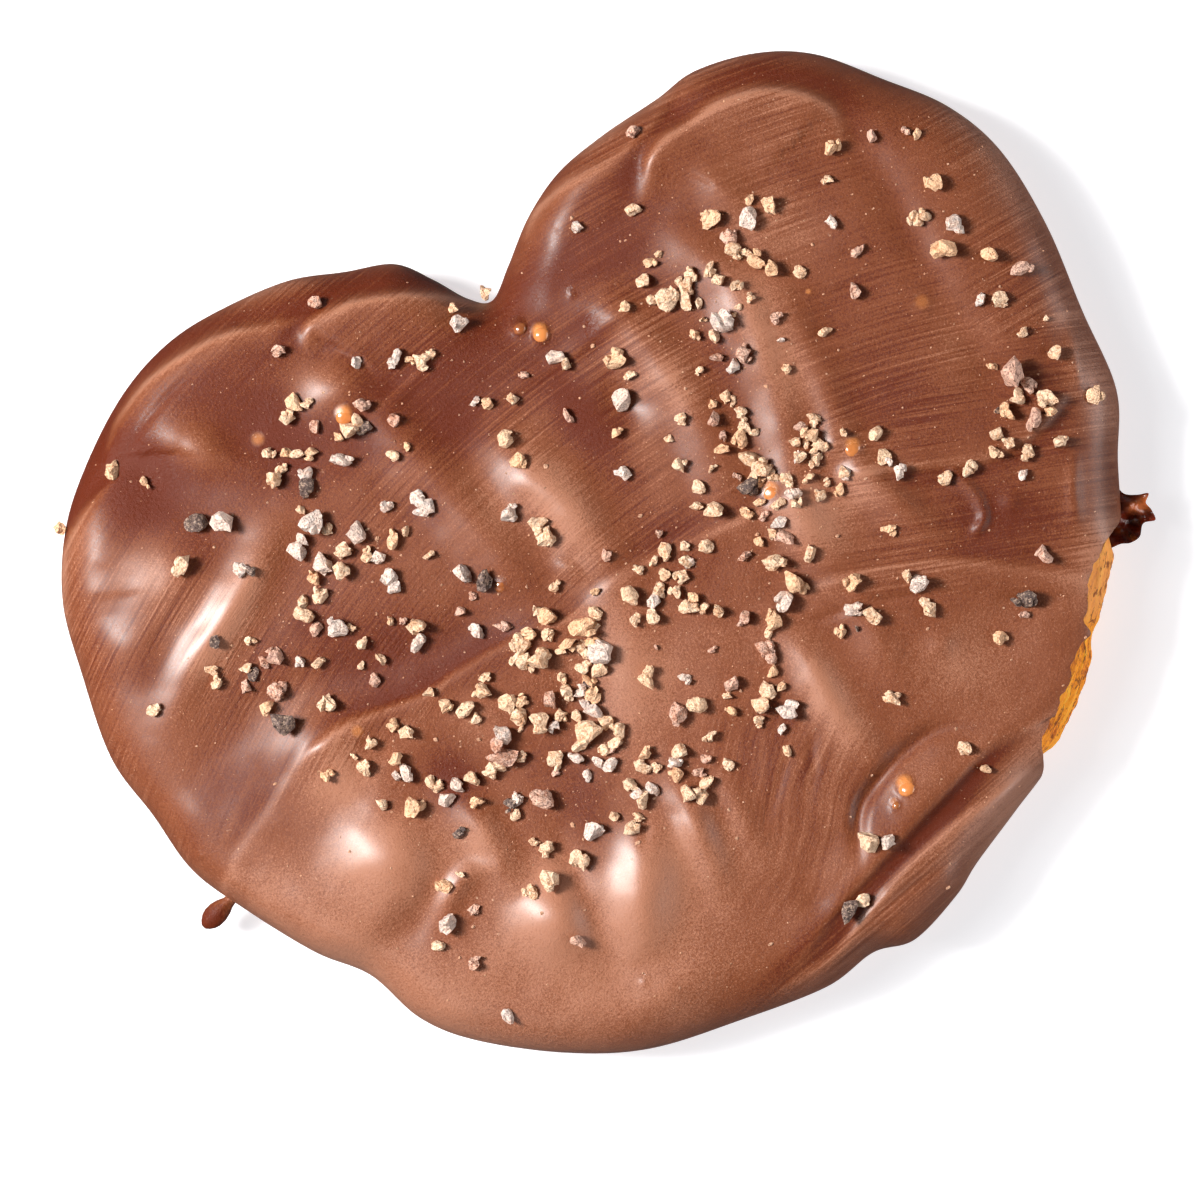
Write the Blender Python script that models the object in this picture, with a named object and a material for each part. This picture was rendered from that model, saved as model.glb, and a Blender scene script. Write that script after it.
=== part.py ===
"""A chocolate-coated palmier at real size: a heart-shaped scroll of baked puff pastry lying flat,
with a brushed-on chocolate coat over its top and sides.

Frame: metres, +X from the left lobe to the right one, +Y towards the notch, +Z up.
The pastry rests on the plane z = 0 and the whole is centred on the origin.

Nodes
  pastry          the baked core, flat underneath and bare along the lower right flank
  chocolate_coat  a closed shell over the top and sides, open underneath, with one hardened drip
  caramel_flake   a thin shard of burnt sugar that sticks out of the right flank
"""

import bmesh
import bpy
import numpy as np

MM = 0.001

# ---------------------------------------------------------------- driving dimensions (metres)
GIRTH_HEIGHT = 9.0 * MM       # where the side turns into the rounded upper edge
SHOULDER_HEIGHT = 17.0 * MM   # top of the rounded edge
CROWN_RISE = 3.6 * MM         # gentle dome above the shoulder
EDGE_WIDTH = 8.0 * MM         # how far in the rounded edge reaches
SIDE_COVER = 1.8 * MM         # chocolate on the side
TOP_COVER = 2.8 * MM          # chocolate on the top, between its highs and lows
GAP = 0.4 * MM                # clearance between coat and pastry
NOTCH_ROOM = 1.4 * MM         # more chocolate in the corner of the notch
NOTCH_REACH = 9.0 * MM
LIP_HEIGHT = 2.6 * MM         # lower edge of the coat above the table
LIP_WAVE = 0.7 * MM           # unevenness of that edge
BASE_INSET = 1.2 * MM         # how far the underside is drawn in from the wall

# The bare flank, as polar angles in degrees about the centre of the heart.
BARE_CENTRE = -33.5
BARE_HALF = 14.5
BARE_BLEND = 5.0
BARE_MARGIN = 3.5             # the pastry swells out a little inside the coat's raised edge
BARE_LIP_RISE = 10.0 * MM     # how much higher the coat ends there
BARE_GIRTH_RISE = 5.0 * MM
BARE_INSET = 2.6 * MM         # how far back the coat stands there

# Grid cells from the middle of the top to its edge; the inner skins are half as fine.
FINE = 20
COARSE = FINE // 2

# The outline of the heart in millimetres, clockwise from the notch. Every point is a crest or
# a dip of its uneven edge; a smooth closed curve runs through them.
OUTLINE_MM = [
    (1.0, 49.3), (5.5, 53.0), (11.5, 58.3), (18.5, 62.3), (27.0, 64.4), (36.5, 65.7),
    (43.5, 67.0), (53.0, 65.4), (61.0, 61.3), (68.5, 53.5), (75.5, 45.5), (79.7, 36.0),
    (81.0, 23.0), (80.2, 9.0), (79.6, -4.0), (75.2, -13.5), (70.5, -24.0), (64.5, -31.5),
    (56.5, -41.5), (46.5, -49.8), (38.0, -54.4), (29.5, -58.8), (24.5, -61.9), (16.0, -65.1),
    (9.5, -64.1), (1.0, -65.7), (-13.0, -64.5), (-27.0, -62.4), (-38.5, -57.5), (-50.0, -49.8),
    (-56.2, -43.0), (-60.0, -34.0), (-66.0, -27.2), (-72.5, -17.0), (-77.2, -8.0),
    (-78.9, 2.0), (-80.8, 12.5), (-79.2, 26.0), (-77.0, 37.0), (-71.5, 47.0), (-63.5, 55.0),
    (-54.5, 61.4), (-45.5, 65.0), (-36.5, 66.0), (-25.5, 65.5), (-17.0, 62.9), (-9.8, 60.7),
    (-5.6, 56.0), (-2.2, 51.2),
]

# Relief of the rolled layers under the coat, in millimetres. Each point of a line carries its
# own height, so a ridge swells and dies away. A step has its higher ground on the right hand as
# the line runs; a ridge with negative heights is a groove; a bump is a low mound.
STEPS_MM = [
    # points of (x, y, height), width of the slope outside, how far the raised ground reaches
    ([(-77.8, 33, 0.2), (-75.6, 39.6, 1.2), (-69.9, 45.7, 1.5), (-62.4, 49.3, 0.8),
      (-58, 50.5, 0)], 2.6, 15),
    ([(-61.6, 50.0, 0), (-59.8, 55.3, 1.6), (-51.2, 60.5, 2.1), (-44.4, 61.7, 2.1),
      (-37.1, 61.7, 1.8), (-30.7, 60.0, 1.0), (-24, 58.7, 0)], 2.6, 16),
    ([(-27.5, 54.2, 0), (-24, 57.7, 1.5), (-18.2, 57.7, 1.8), (-11, 55.5, 1.7),
      (-3.9, 51.9, 0.9), (0, 49, 0)], 2.6, 14),
    ([(9, 55, 0), (12.5, 58.2, 1.0), (18, 59.7, 1.2), (26, 59.9, 1.0), (37, 63.4, 0)], 2.4, 10),
    ([(27, 52, 0), (31.5, 57.6, 1.4), (39, 59.6, 1.8), (48.9, 59.8, 1.9), (56.2, 55.9, 1.4),
      (58.8, 49.9, 0.4), (58, 46, 0)], 2.6, 15),
    ([(-74.6, -12.8, 0.1), (-62.4, -5.1, 0.2), (-50.8, 0.8, 0.6), (-39.3, 0.9, 0.9),
      (-28.2, 1.2, 0.7), (-8, 1.2, 0.4), (-3, 0, 0)], 2.0, 16),
    ([(-8, 1.5, 0), (0, 3.4, 0.4), (10, 3.7, 0.5), (28, 3.0, 0.3), (34, 2.6, 0)], 2.0, 12),
    ([(74, -0.5, 0), (65, -4.3, 0.7), (57, -4.6, 0.7), (45, -0.4, 0.6), (35, 2.6, 0)], 2.0, 11),
    ([(46, -43.6, 0.3), (38, -43.8, 0.8), (30, -46.7, 1.1), (22, -49.6, 1.2), (14, -52.5, 1.0),
      (6, -56, 0.8), (-2, -60.2, 0.1)], 2.2, 8),
    ([(-6, -62.8, 0), (4, -61.4, 0.5), (12, -57.6, 0.7), (30, -51.6, 0.6), (42, -49.6, 0.2)],
     2.0, 6),
]

RIDGES_MM = [
    # points of (x, y, height), half-width
    ([(-23, 46, 0.4), (-20.8, 37, 1.4), (-17.8, 27, 1.5), (-15, 15, 1.5), (-13.8, 7, 0.9),
      (-13, 0, 0.2)], 3.8),
    ([(-72, 11.5, 0.2), (-64, 18.8, 1.7), (-55.5, 23.6, 2.1), (-48, 28.8, 1.6), (-41, 34, 0.2)],
     3.6),
    ([(-10, 37, 0.2), (-7.5, 29, 1.5), (-4.8, 22, 2.1), (-2.2, 15, 2.0), (-1, 8, 1.0),
      (-2, 0, 0.7), (-4, -8, 1.0), (-6.5, -15, 0.4)], 4.2),
    ([(9, 51, 0.2), (14, 45, 1.0), (17, 38, 1.4), (19.3, 30, 1.5), (20.5, 22, 1.2),
      (20.5, 12, 0.9), (19, 3, 0.2)], 3.6),
    ([(27.5, 50, 0.3), (30, 43, 1.0), (33.2, 33, 1.9), (32, 22, 1.5), (30.5, 10, 1.3),
      (28.5, 0, 1.5), (29, -7, 0.9), (30, -14, 0.1)], 3.6),
    ([(36.5, 54, 0.2), (39.2, 48, 1.0), (41, 42, 0.4), (40.2, 27, 1.0), (39.8, 18, 1.0),
      (39.2, 10, 1.1), (39, 4, 0.3)], 3.0),
    ([(37, 5, 0.2), (39.8, 0, 1.6), (42.5, -6, 1.4), (47, -16, 0)], 3.0),
    ([(60, 52, -0.2), (61, 42, -0.7), (61.5, 30, -0.8), (62, 18, -0.7), (63, 6, -0.2)], 3.4),
    ([(-70, 4, -0.4), (-56, 9, -1.0), (-36, 6.5, -1.0), (-22, 6, -0.8), (-10, 5, -0.2)], 4.5),
    ([(-36, -15, 0.3), (-34.9, -21, 1.3), (-34.3, -28, 1.0), (-34, -33, 0.2)], 3.0),
    ([(-22, -50, 0.2), (-19.5, -44, 2.1), (-15.5, -37, 2.7), (-11.5, -30, 0.8)], 4.0),
    ([(-5.8, -26, 0.3), (-6, -34, 1.8), (-6.3, -40, 1.4), (-7, -47, 0.2)], 3.0),
    ([(18.5, -12, 0.2), (19.8, -20, 1.3), (20, -28, 1.4), (21.5, -34, 1.0), (23, -39, 0.2)],
     3.0),
    ([(-67, -5, 0.1), (-65, -13, 0.9), (-63, -21, 1.0), (-60, -27, 0.8), (-54, -33, 0.1)], 3.0),
    ([(-59, -30, -0.3), (-51, -29.5, -1.0), (-44, -24, -0.9), (-41.5, -12, -0.4)], 3.4),
    ([(-26, -49, -0.2), (-26, -38, -0.9), (-25, -27, -0.4)], 3.0),
    ([(13.5, -50, -0.2), (16.5, -44, -1.1), (20, -41.4, -1.3), (27, -38.6, -1.2),
      (33, -38, -0.9), (40, -40.5, -0.1)], 2.2),
]

BUMPS_MM = [
    # x, y, two half-widths, turn in degrees, height
    (-48.5, 49, 5.4, 4.0, -45, 1.4), (-61, 33.5, 7.8, 6.8, 0, 1.5), (-25.6, 47, 4.6, 4.2, 0, 1.5),
    (-48.3, -20, 7.4, 7.0, 0, 2.9), (-30, -38.8, 5.4, 5.0, 25, 2.8), (-50.5, 0.2, 6.0, 5.2, 0, 1.4),
    (26, -45, 6.5, 2.8, 22, 0.9), (-21, -55.5, 8, 3.2, 12, 0.8), (46, -31, 7, 8, 20, -1.0),
    (67, 27, 7, 12, 0, 0.8), (12, 26.5, 2.8, 3.6, 0, -1.1),
]

DRIP_ROOT = (-73.3 * MM, -14.3 * MM, 6.2 * MM)
DRIP_TIP = (-78.9 * MM, -16.2 * MM, 5.6 * MM)
DRIP_RADIUS = 1.3 * MM
DRIP_NECK = 0.8 * MM

FLAKE_MM = [(74.3, -17.2), (75.6, -19.4), (77.2, -20.3), (76.4, -22.4), (76.6, -24.3),
            (75.0, -25.0), (73.6, -26.2), (71.2, -25.6), (72.3, -22.6), (73.5, -20.0)]
FLAKE_HEIGHT = 7.0 * MM
FLAKE_THICKNESS = 1.2 * MM


# ---------------------------------------------------------------- scene and materials
def clear_scene():
    for old in list(bpy.data.objects):
        bpy.data.objects.remove(old, do_unlink=True)


def finish(name, colour, roughness, metallic=0.0):
    material = bpy.data.materials.new(name)
    material.use_nodes = True
    shader = material.node_tree.nodes["Principled BSDF"]
    shader.inputs["Base Color"].default_value = (*colour, 1.0)
    shader.inputs["Roughness"].default_value = roughness
    shader.inputs["Metallic"].default_value = metallic
    material.diffuse_color = (*colour, 1.0)
    return material


# ---------------------------------------------------------------- curves
def smoothstep(x):
    x = np.clip(x, 0.0, 1.0)
    return x * x * (3.0 - 2.0 * x)


def spline(points, closed=False, steps=12):
    """Catmull-Rom curve through the points."""
    p = np.asarray(points, float)
    if closed:
        p = np.vstack([p[-1], p, p[:2]])
    else:
        p = np.vstack([2 * p[0] - p[1], p, 2 * p[-1] - p[-2]])
    a, b, c, d = p[:-3], p[1:-2], p[2:-1], p[3:]
    t = np.arange(steps) / steps
    rows = []
    for s in t:
        rows.append(0.5 * (2 * b + (c - a) * s + (2 * a - 5 * b + 4 * c - d) * s ** 2
                           + (3 * b - a - 3 * c + d) * s ** 3))
    curve = np.stack(rows, axis=1).reshape(-1, p.shape[1])
    return curve if closed else np.vstack([curve, p[-2]])


def nearest(curve, xy):
    """Distance from each point to a curve, the side it lies on (+1 left) and how far along."""
    start, step = curve[:-1], np.diff(curve, axis=0)
    length = np.maximum((step ** 2).sum(1), 1e-18)
    off = xy[:, None, :] - start[None]
    along = np.clip((off * step).sum(2) / length, 0.0, 1.0)
    gap = off - along[..., None] * step
    dist = np.sqrt((gap ** 2).sum(2))
    best = dist.argmin(1)
    rows = np.arange(len(xy))
    cross = step[best, 0] * off[rows, best, 1] - step[best, 1] * off[rows, best, 0]
    place = (best + along[rows, best]) / len(start)
    return dist[rows, best], np.where(cross >= 0, 1.0, -1.0), place


def evenly(loop, count):
    """A closed curve as evenly spaced points, counter-clockwise from the lower right diagonal."""
    loop = loop[::-1]
    angle = np.degrees(np.arctan2(loop[:, 1], loop[:, 0]))
    loop = np.roll(loop, -int(np.abs(angle + 45.0).argmin()), axis=0)
    ring = np.vstack([loop, loop[:1]])
    travel = np.concatenate([[0.0], np.cumsum(np.hypot(*np.diff(ring, axis=0).T))])
    marks = np.arange(count) / count * travel[-1]
    return np.column_stack([np.interp(marks, travel, ring[:, k]) for k in (0, 1)])


def outward(ring):
    """Unit normals of a counter-clockwise ring, pointing away from its inside."""
    tangent = np.roll(ring, -1, axis=0) - np.roll(ring, 1, axis=0)
    tangent /= np.linalg.norm(tangent, axis=1)[:, None]
    return np.column_stack([tangent[:, 1], -tangent[:, 0]])


def bounds_centre(points):
    return (points.min(0) + points.max(0)) / 2


OUTLINE = spline(OUTLINE_MM, closed=True) * MM
OUTLINE_SHIFT = bounds_centre(OUTLINE)
OUTLINE -= OUTLINE_SHIFT


# ---------------------------------------------------------------- heights
def bareness(xy, margin=0.0):
    """1 on the bare flank, 0 elsewhere, with a short blend; a margin narrows the flank."""
    angle = np.degrees(np.arctan2(xy[:, 1], xy[:, 0]))
    inside = BARE_HALF - margin + BARE_BLEND / 2 - np.abs(angle - BARE_CENTRE)
    return smoothstep(inside / BARE_BLEND)


def notch_room(xy):
    """Extra cover in the tight corner of the notch."""
    notch = OUTLINE[np.abs(np.arctan2(OUTLINE[:, 1], OUTLINE[:, 0]) - np.pi / 2).argmin()]
    return NOTCH_ROOM * np.exp(-((xy - notch) ** 2).sum(1) / NOTCH_REACH ** 2)


def line_height(points, q):
    """Distance to a line of the map, the side it lies on, and the line's height there."""
    line = spline(points)
    dist, side, place = nearest(line[:, :2], q)
    return dist, side, np.interp(place * (len(line) - 1), np.arange(len(line)), line[:, 2])


def relief(xy):
    """Height of the layers' steps, ridges and bumps at each point, in metres."""
    q = xy / MM + OUTLINE_SHIFT / MM
    total = np.zeros(len(q))
    for points, width, reach in STEPS_MM:
        dist, side, height = line_height(points, q)
        inward = -side * dist
        fall = 1 - smoothstep(inward / reach)
        shown = np.where(dist < reach, height, 0.0)
        total += shown * np.clip(1 + inward / width, 0, 1) ** 1.6 * fall
    for points, width in RIDGES_MM:
        dist, _, height = line_height(points, q)
        total += height * np.exp(-(dist / width) ** 2)
    for x, y, half_x, half_y, turn, height in BUMPS_MM:
        c, s = np.cos(np.radians(turn)), np.sin(np.radians(turn))
        u = (q[:, 0] - x) * c + (q[:, 1] - y) * s
        v = (q[:, 1] - y) * c - (q[:, 0] - x) * s
        total += height * np.exp(-(u / half_x) ** 2 - (v / half_y) ** 2)
    return total * MM


def crown(xy, inset):
    """Height of the smooth top at each point, for a skin whose own edge is inset from the outline."""
    ring = np.vstack([OUTLINE, OUTLINE[:1]])
    depth = np.maximum(nearest(ring, xy)[0] - inset, 0.0)
    low = GIRTH_HEIGHT + BARE_GIRTH_RISE * bareness(xy)
    round_edge = np.sqrt(1 - (1 - np.clip(depth / EDGE_WIDTH, 0, 1)) ** 2)
    dome = CROWN_RISE * (1 - np.exp(-depth / (2.2 * EDGE_WIDTH)))
    return low + (SHOULDER_HEIGHT - low) * round_edge + dome, depth


def lip(xy):
    """Height of the coat's lower edge: a wavy line that climbs where the flank is bare."""
    angle = np.arctan2(xy[:, 1], xy[:, 0])
    wave = np.sin(7 * angle + 0.6) * 0.6 + np.sin(16 * angle + 2.0) * 0.4
    return LIP_HEIGHT + LIP_WAVE * wave + BARE_LIP_RISE * bareness(xy)


# ---------------------------------------------------------------- skins
def disc_cells(n):
    """A square grid of cells as rings about its middle: ring share, share round the ring, quads."""
    side = 2 * n + 1
    share = np.zeros((side, side))
    turn = np.zeros((side, side))
    for i in range(-n, n + 1):
        for j in range(-n, n + 1):
            k = max(abs(i), abs(j))
            if k == 0:
                continue
            if i == k and j < k:
                place = j + k
            elif j == k and i > -k:
                place = 2 * k + (k - i)
            elif i == -k and j > -k:
                place = 4 * k + (k - j)
            else:
                place = 6 * k + (i + k)
            share[i + n, j + n] = k / n
            turn[i + n, j + n] = place / (8 * k)
    quads = []
    for i in range(side - 1):
        for j in range(side - 1):
            a = i * side + j
            quads.append((a, a + side, a + side + 1, a + 1))
    return share.ravel(), turn.ravel(), quads


def rim_order(turn, share):
    """Indices of the outermost ring, counter-clockwise."""
    rim = np.flatnonzero(share > 1 - 1e-9)
    return rim[np.argsort(turn[rim])]


def cap_points(ring, share, turn):
    """The grid's points laid inside a closed ring, closer together near its edge."""
    spread = 1.13 * share - 0.13 * share ** 8
    count = len(ring)
    closed = np.vstack([ring, ring[:1]])
    edge = np.column_stack([np.interp(turn * count, np.arange(count + 1), closed[:, k])
                            for k in (0, 1)])
    return edge * spread[:, None]


class Skin:
    """Vertices and faces gathered for one mesh."""

    def __init__(self):
        self.points = []
        self.faces = []

    def add(self, points):
        start = len(self.points)
        self.points.extend(map(tuple, points))
        return np.arange(start, start + len(points))

    def cap(self, ring, n, height):
        """A top over the ring; height is a function of the points' x and y. Returns its rim."""
        share, turn, quads = disc_cells(n)
        xy = cap_points(ring, share, turn)
        ids = self.add(np.column_stack([xy, height(xy)]))
        self.faces.extend(tuple(ids[list(q)]) for q in quads)
        return ids[rim_order(turn, share)]

    def band(self, upper, lower):
        """Faces between two rings; one may have a whole number of times the other's points."""
        few, many = (upper, lower) if len(upper) <= len(lower) else (lower, upper)
        times = len(many) // len(few)
        for k in range(len(few)):
            fine = [many[(k * times + m) % len(many)] for m in range(times + 1)]
            self.faces.append((few[k], few[(k + 1) % len(few)], *reversed(fine)))

    def to_object(self, name, material):
        mesh = bpy.data.meshes.new(name)
        mesh.from_pydata([tuple(map(float, p)) for p in self.points], [],
                         [tuple(map(int, f)) for f in self.faces])
        work = bmesh.new()
        work.from_mesh(mesh)
        bmesh.ops.recalc_face_normals(work, faces=work.faces)
        work.to_mesh(mesh)
        work.free()
        mesh.materials.append(material)
        mesh.shade_smooth()
        mesh.set_sharp_from_angle(angle=np.radians(50))
        item = bpy.data.objects.new(name, mesh)
        bpy.context.collection.objects.link(item)
        return item


def ring_at(base, inset, height):
    """A ring drawn in from the base ring by its own inset, at its own height."""
    xy = base - outward(base) * np.broadcast_to(inset, len(base))[:, None]
    return np.column_stack([xy, np.broadcast_to(height, len(base))])


# ---------------------------------------------------------------- the pieces
def build_coat(material):
    skin = Skin()
    outer = evenly(OUTLINE, 8 * FINE)
    stand = BARE_INSET * bareness(outer)
    top_ring = ring_at(outer, stand, 0.0)[:, :2]

    def top_height(xy):
        height, depth = crown(xy, 0.0)
        return height + relief(xy) * smoothstep(depth / (3 * MM))

    rim = skin.cap(top_ring, FINE, top_height)
    rim_height = np.array([skin.points[k][2] for k in rim])
    foot = lip(outer)
    levels = [(0.66, 0.1), (0.33, 0.3), (0.08, 0.7)]
    previous = rim
    for share, draw in levels:
        height = foot + (rim_height - foot) * share
        row = skin.add(ring_at(outer, stand + draw * MM * (1 - bareness(outer)), height))
        skin.band(previous, row)
        previous = row

    inner = evenly(OUTLINE, 8 * COARSE)
    bare = bareness(inner)
    inner_inset = SIDE_COVER + BARE_INSET * bare + notch_room(inner)
    low_edge = skin.add(ring_at(inner, inner_inset, lip(inner)))
    skin.band(low_edge, previous)
    inner_ring = ring_at(inner, inner_inset, 0.0)[:, :2]
    rim_inside = skin.cap(inner_ring, COARSE, lambda xy: hidden_top(xy, SIDE_COVER))
    skin.band(rim_inside, low_edge)
    return skin.to_object("chocolate_coat", material)


def hidden_top(xy, inset):
    """The smooth surface between coat and pastry, kept above the coat's edge on the bare flank."""
    bare = bareness(xy)
    height, _ = crown(xy, inset + BARE_INSET * bare)
    return height - TOP_COVER * (1 - 0.75 * bare * near_edge(xy)) - (inset - SIDE_COVER)


def near_edge(xy):
    ring = np.vstack([OUTLINE, OUTLINE[:1]])
    return 1 - smoothstep((nearest(ring, xy)[0] - BARE_INSET - SIDE_COVER) / (6 * MM))


def build_pastry(material):
    skin = Skin()
    wall = evenly(OUTLINE, 8 * COARSE)
    bare = bareness(wall)
    inset = SIDE_COVER + GAP
    covered = inset + BARE_INSET * bare + notch_room(wall)
    rim = skin.cap(ring_at(wall, covered, 0.0)[:, :2], COARSE,
                   lambda xy: hidden_top(xy, inset))
    foot = lip(wall)
    proud = (inset + notch_room(wall)) * (1 - bareness(wall, BARE_MARGIN))
    rows = [
        ring_at(wall, covered, foot - GAP),
        ring_at(wall, proud + 0.3 * MM, foot * (0.84 - 0.04 * bare)),
        ring_at(wall, proud, foot * 0.5),
        ring_at(wall, proud + 0.3 * BASE_INSET, foot * 0.18),
        ring_at(wall, proud + BASE_INSET, 0.0),
    ]
    previous = rim
    for row in rows:
        ids = skin.add(row)
        skin.band(previous, ids)
        previous = ids
    skin.faces.append(tuple(previous))
    return skin.to_object("pastry", material)


def add_drip(coat):
    """A hardened drip: a neck out of the side that swells into a drop, joined to the coat."""
    root, tip = np.array(DRIP_ROOT), np.array(DRIP_TIP)
    axis = (tip - root) / np.linalg.norm(tip - root)
    side = np.cross(axis, (0, 0, 1.0))
    side /= np.linalg.norm(side)
    rise = np.cross(side, axis)
    stations = [(0.0, DRIP_NECK), (0.38, DRIP_NECK), (0.55, 0.85 * DRIP_RADIUS),
                (0.8, DRIP_RADIUS), (1.0, 0.75 * DRIP_RADIUS)]
    skin = Skin()
    around = np.radians(np.arange(0, 360, 45))
    rings = []
    for share, radius in stations:
        centre = root + (tip - root) * share
        rings.append(skin.add([centre + radius * (np.cos(a) * side + np.sin(a) * rise)
                               for a in around]))
    for upper, lower in zip(rings, rings[1:]):
        skin.band(upper, lower)
    skin.faces.append(tuple(rings[0]))
    nose = skin.add([tip + axis * 0.7 * DRIP_RADIUS])[0]
    last = rings[-1]
    skin.faces.extend((last[k], last[(k + 1) % len(last)], nose) for k in range(len(last)))
    drip = skin.to_object("drip_cutter", coat.data.materials[0])
    drip.hide_render = True
    drip.display_type = "WIRE"
    join = coat.modifiers.new("drip", "BOOLEAN")
    join.operation = "UNION"
    join.object = drip
    return drip


def build_flake(material):
    """A flat shard with a ragged edge, thinner at its tip."""
    skin = Skin()
    edge = np.array(FLAKE_MM) * MM
    middle = edge.mean(0)
    reach = (edge[:, 0] - edge[:, 0].min()) / np.ptp(edge[:, 0])
    half = FLAKE_THICKNESS / 2 * (1 - 0.5 * reach)
    rows = []
    for draw, lift in ((0.72, 1.0), (1.0, 0.35), (1.0, -0.35), (0.72, -1.0)):
        xy = middle + (edge - middle) * draw
        rows.append(skin.add(np.column_stack([xy, FLAKE_HEIGHT + half * lift])))
    for upper, lower in zip(rows, rows[1:]):
        skin.band(upper, lower)
    skin.faces.append(tuple(rows[0]))
    skin.faces.append(tuple(rows[-1]))
    return skin.to_object("caramel_flake", material)


def build():
    clear_scene()
    baked = finish("baked_pastry", (0.62, 0.26, 0.06), 0.6)
    chocolate = finish("milk_chocolate", (0.22, 0.085, 0.045), 0.35)
    caramel = finish("burnt_caramel", (0.07, 0.012, 0.004), 0.12)
    build_pastry(baked)
    add_drip(build_coat(chocolate))
    build_flake(caramel)


build()
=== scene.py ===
# %% [markdown]
# # A palmier under milk chocolate
#
# A palmier is a strip of puff pastry rolled in from both ends until the two scrolls meet and bake
# into a heart. This one was then coated: chocolate was poured over the top and sides, drawn out
# with a brush, and sprinkled with chopped roasted nuts before it set. This lesson models what
# the eye meets: the brushed coat with the rolled layers showing through as soft ridges, the
# bare baked flank, the hardened drip, the glassy flake of burnt sugar and the nut grains.
#
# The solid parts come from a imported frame, which fixes every size. Each piece made here stands
# in for one of them, in the same metres and the same axes: +X from the left lobe to the right,
# +Y towards the notch, +Z up.

# %% Load the frame
import math
import bpy
import bmesh
import numpy as np
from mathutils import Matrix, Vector
from mathutils.bvhtree import BVHTree


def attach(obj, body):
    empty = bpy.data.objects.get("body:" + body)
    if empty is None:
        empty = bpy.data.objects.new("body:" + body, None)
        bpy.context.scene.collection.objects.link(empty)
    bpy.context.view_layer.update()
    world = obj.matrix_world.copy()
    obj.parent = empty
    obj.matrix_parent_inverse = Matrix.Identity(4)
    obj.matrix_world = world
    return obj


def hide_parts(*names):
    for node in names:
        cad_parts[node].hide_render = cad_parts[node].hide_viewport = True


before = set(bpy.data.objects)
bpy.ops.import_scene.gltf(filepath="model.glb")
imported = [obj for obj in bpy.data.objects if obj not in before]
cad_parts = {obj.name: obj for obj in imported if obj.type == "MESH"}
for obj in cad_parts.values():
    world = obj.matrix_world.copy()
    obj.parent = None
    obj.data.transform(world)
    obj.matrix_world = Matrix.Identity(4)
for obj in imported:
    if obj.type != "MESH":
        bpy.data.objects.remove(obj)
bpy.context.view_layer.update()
MM = 0.001

# %% [markdown]
# ## The camera
#
# The pastry is shown from straight above, turned so that its right lobe points up and to the
# right. A long lens at a good distance keeps the outline free of perspective. Turning the camera
# about its own axis does this without moving the pastry, which stays in line with its frame.

# %% Camera
VIEW_TURN = 26.0        # degrees between the lobes' line and the picture's lower edge
VIEW_DISTANCE = 0.95    # camera height above the table, metres
VIEW_SPAN = 0.1825      # width of table that the picture takes in, metres
VIEW_CENTRE = (-4.3 * MM, 1.0 * MM)


def add_camera():
    data = bpy.data.cameras.new("camera")
    data.sensor_width = 36.0
    data.lens = data.sensor_width * VIEW_DISTANCE / VIEW_SPAN
    data.clip_start = 0.05
    camera = bpy.data.objects.new("camera", data)
    camera.location = (*VIEW_CENTRE, VIEW_DISTANCE)
    camera.rotation_euler = (0.0, 0.0, -math.radians(VIEW_TURN))
    bpy.context.collection.objects.link(camera)
    bpy.context.scene.camera = camera
    return camera


camera = add_camera()
print("lens mm:", round(camera.data.lens))

# %% [markdown]
# ## Table and light
#
# The table is a wide white sheet, faintly lit from within as a light table is, so that shadows
# on it stay pale. A key lamp at the picture's left gives each grain its crisp
# shadow. A broader lamp above it draws a soft highlight on every slope that leans a little to
# the left. A wide panel in front lifts the near slopes, and a pale card at the right puts a
# grey sheen on the far ones. The flat top stays clear and deep in colour, because nothing
# bright hangs straight above it. The Standard view transform keeps the
# values as they are, so white stays white and brown stays brown.

# %% Table, lamps and world
KEY_HEADING = 145.0     # degrees about Z, measured from +X
KEY_HEIGHT = 46.0       # degrees above the table


def toward(heading, height, distance):
    """A point at the given bearing and height, as seen from the middle of the pastry."""
    a, e = math.radians(heading), math.radians(height)
    return Vector((math.cos(a) * math.cos(e), math.sin(a) * math.cos(e), math.sin(e))) * distance


def add_panel(name, place, size, watts, colour=(1.0, 1.0, 1.0)):
    lamp = bpy.data.lights.new(name, "AREA")
    lamp.shape = "RECTANGLE"
    lamp.size, lamp.size_y = size
    lamp.energy = watts
    lamp.color = colour
    holder = bpy.data.objects.new(name, lamp)
    holder.location = place
    holder.rotation_euler = (-place).to_track_quat("-Z", "Y").to_euler()
    holder.visible_camera = False
    bpy.context.collection.objects.link(holder)
    return holder


def add_table():
    mesh = bpy.data.meshes.new("table")
    half = 1.6
    mesh.from_pydata([(-half, -half, 0), (half, -half, 0), (half, half, 0), (-half, half, 0)],
                     [], [(0, 1, 2, 3)])
    table = bpy.data.objects.new("table", mesh)
    bpy.context.collection.objects.link(table)
    paint = bpy.data.materials.new("table_white")
    paint.use_nodes = True
    shader = paint.node_tree.nodes["Principled BSDF"]
    shader.inputs["Base Color"].default_value = (0.52, 0.52, 0.53, 1.0)
    shader.inputs["Emission Color"].default_value = (0.97, 0.97, 1.0, 1.0)
    shader.inputs["Emission Strength"].default_value = 0.66
    shader.inputs["Roughness"].default_value = 0.9
    shader.inputs["Specular IOR Level"].default_value = 0.1
    mesh.materials.append(paint)
    table.visible_glossy = False
    return table


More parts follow.
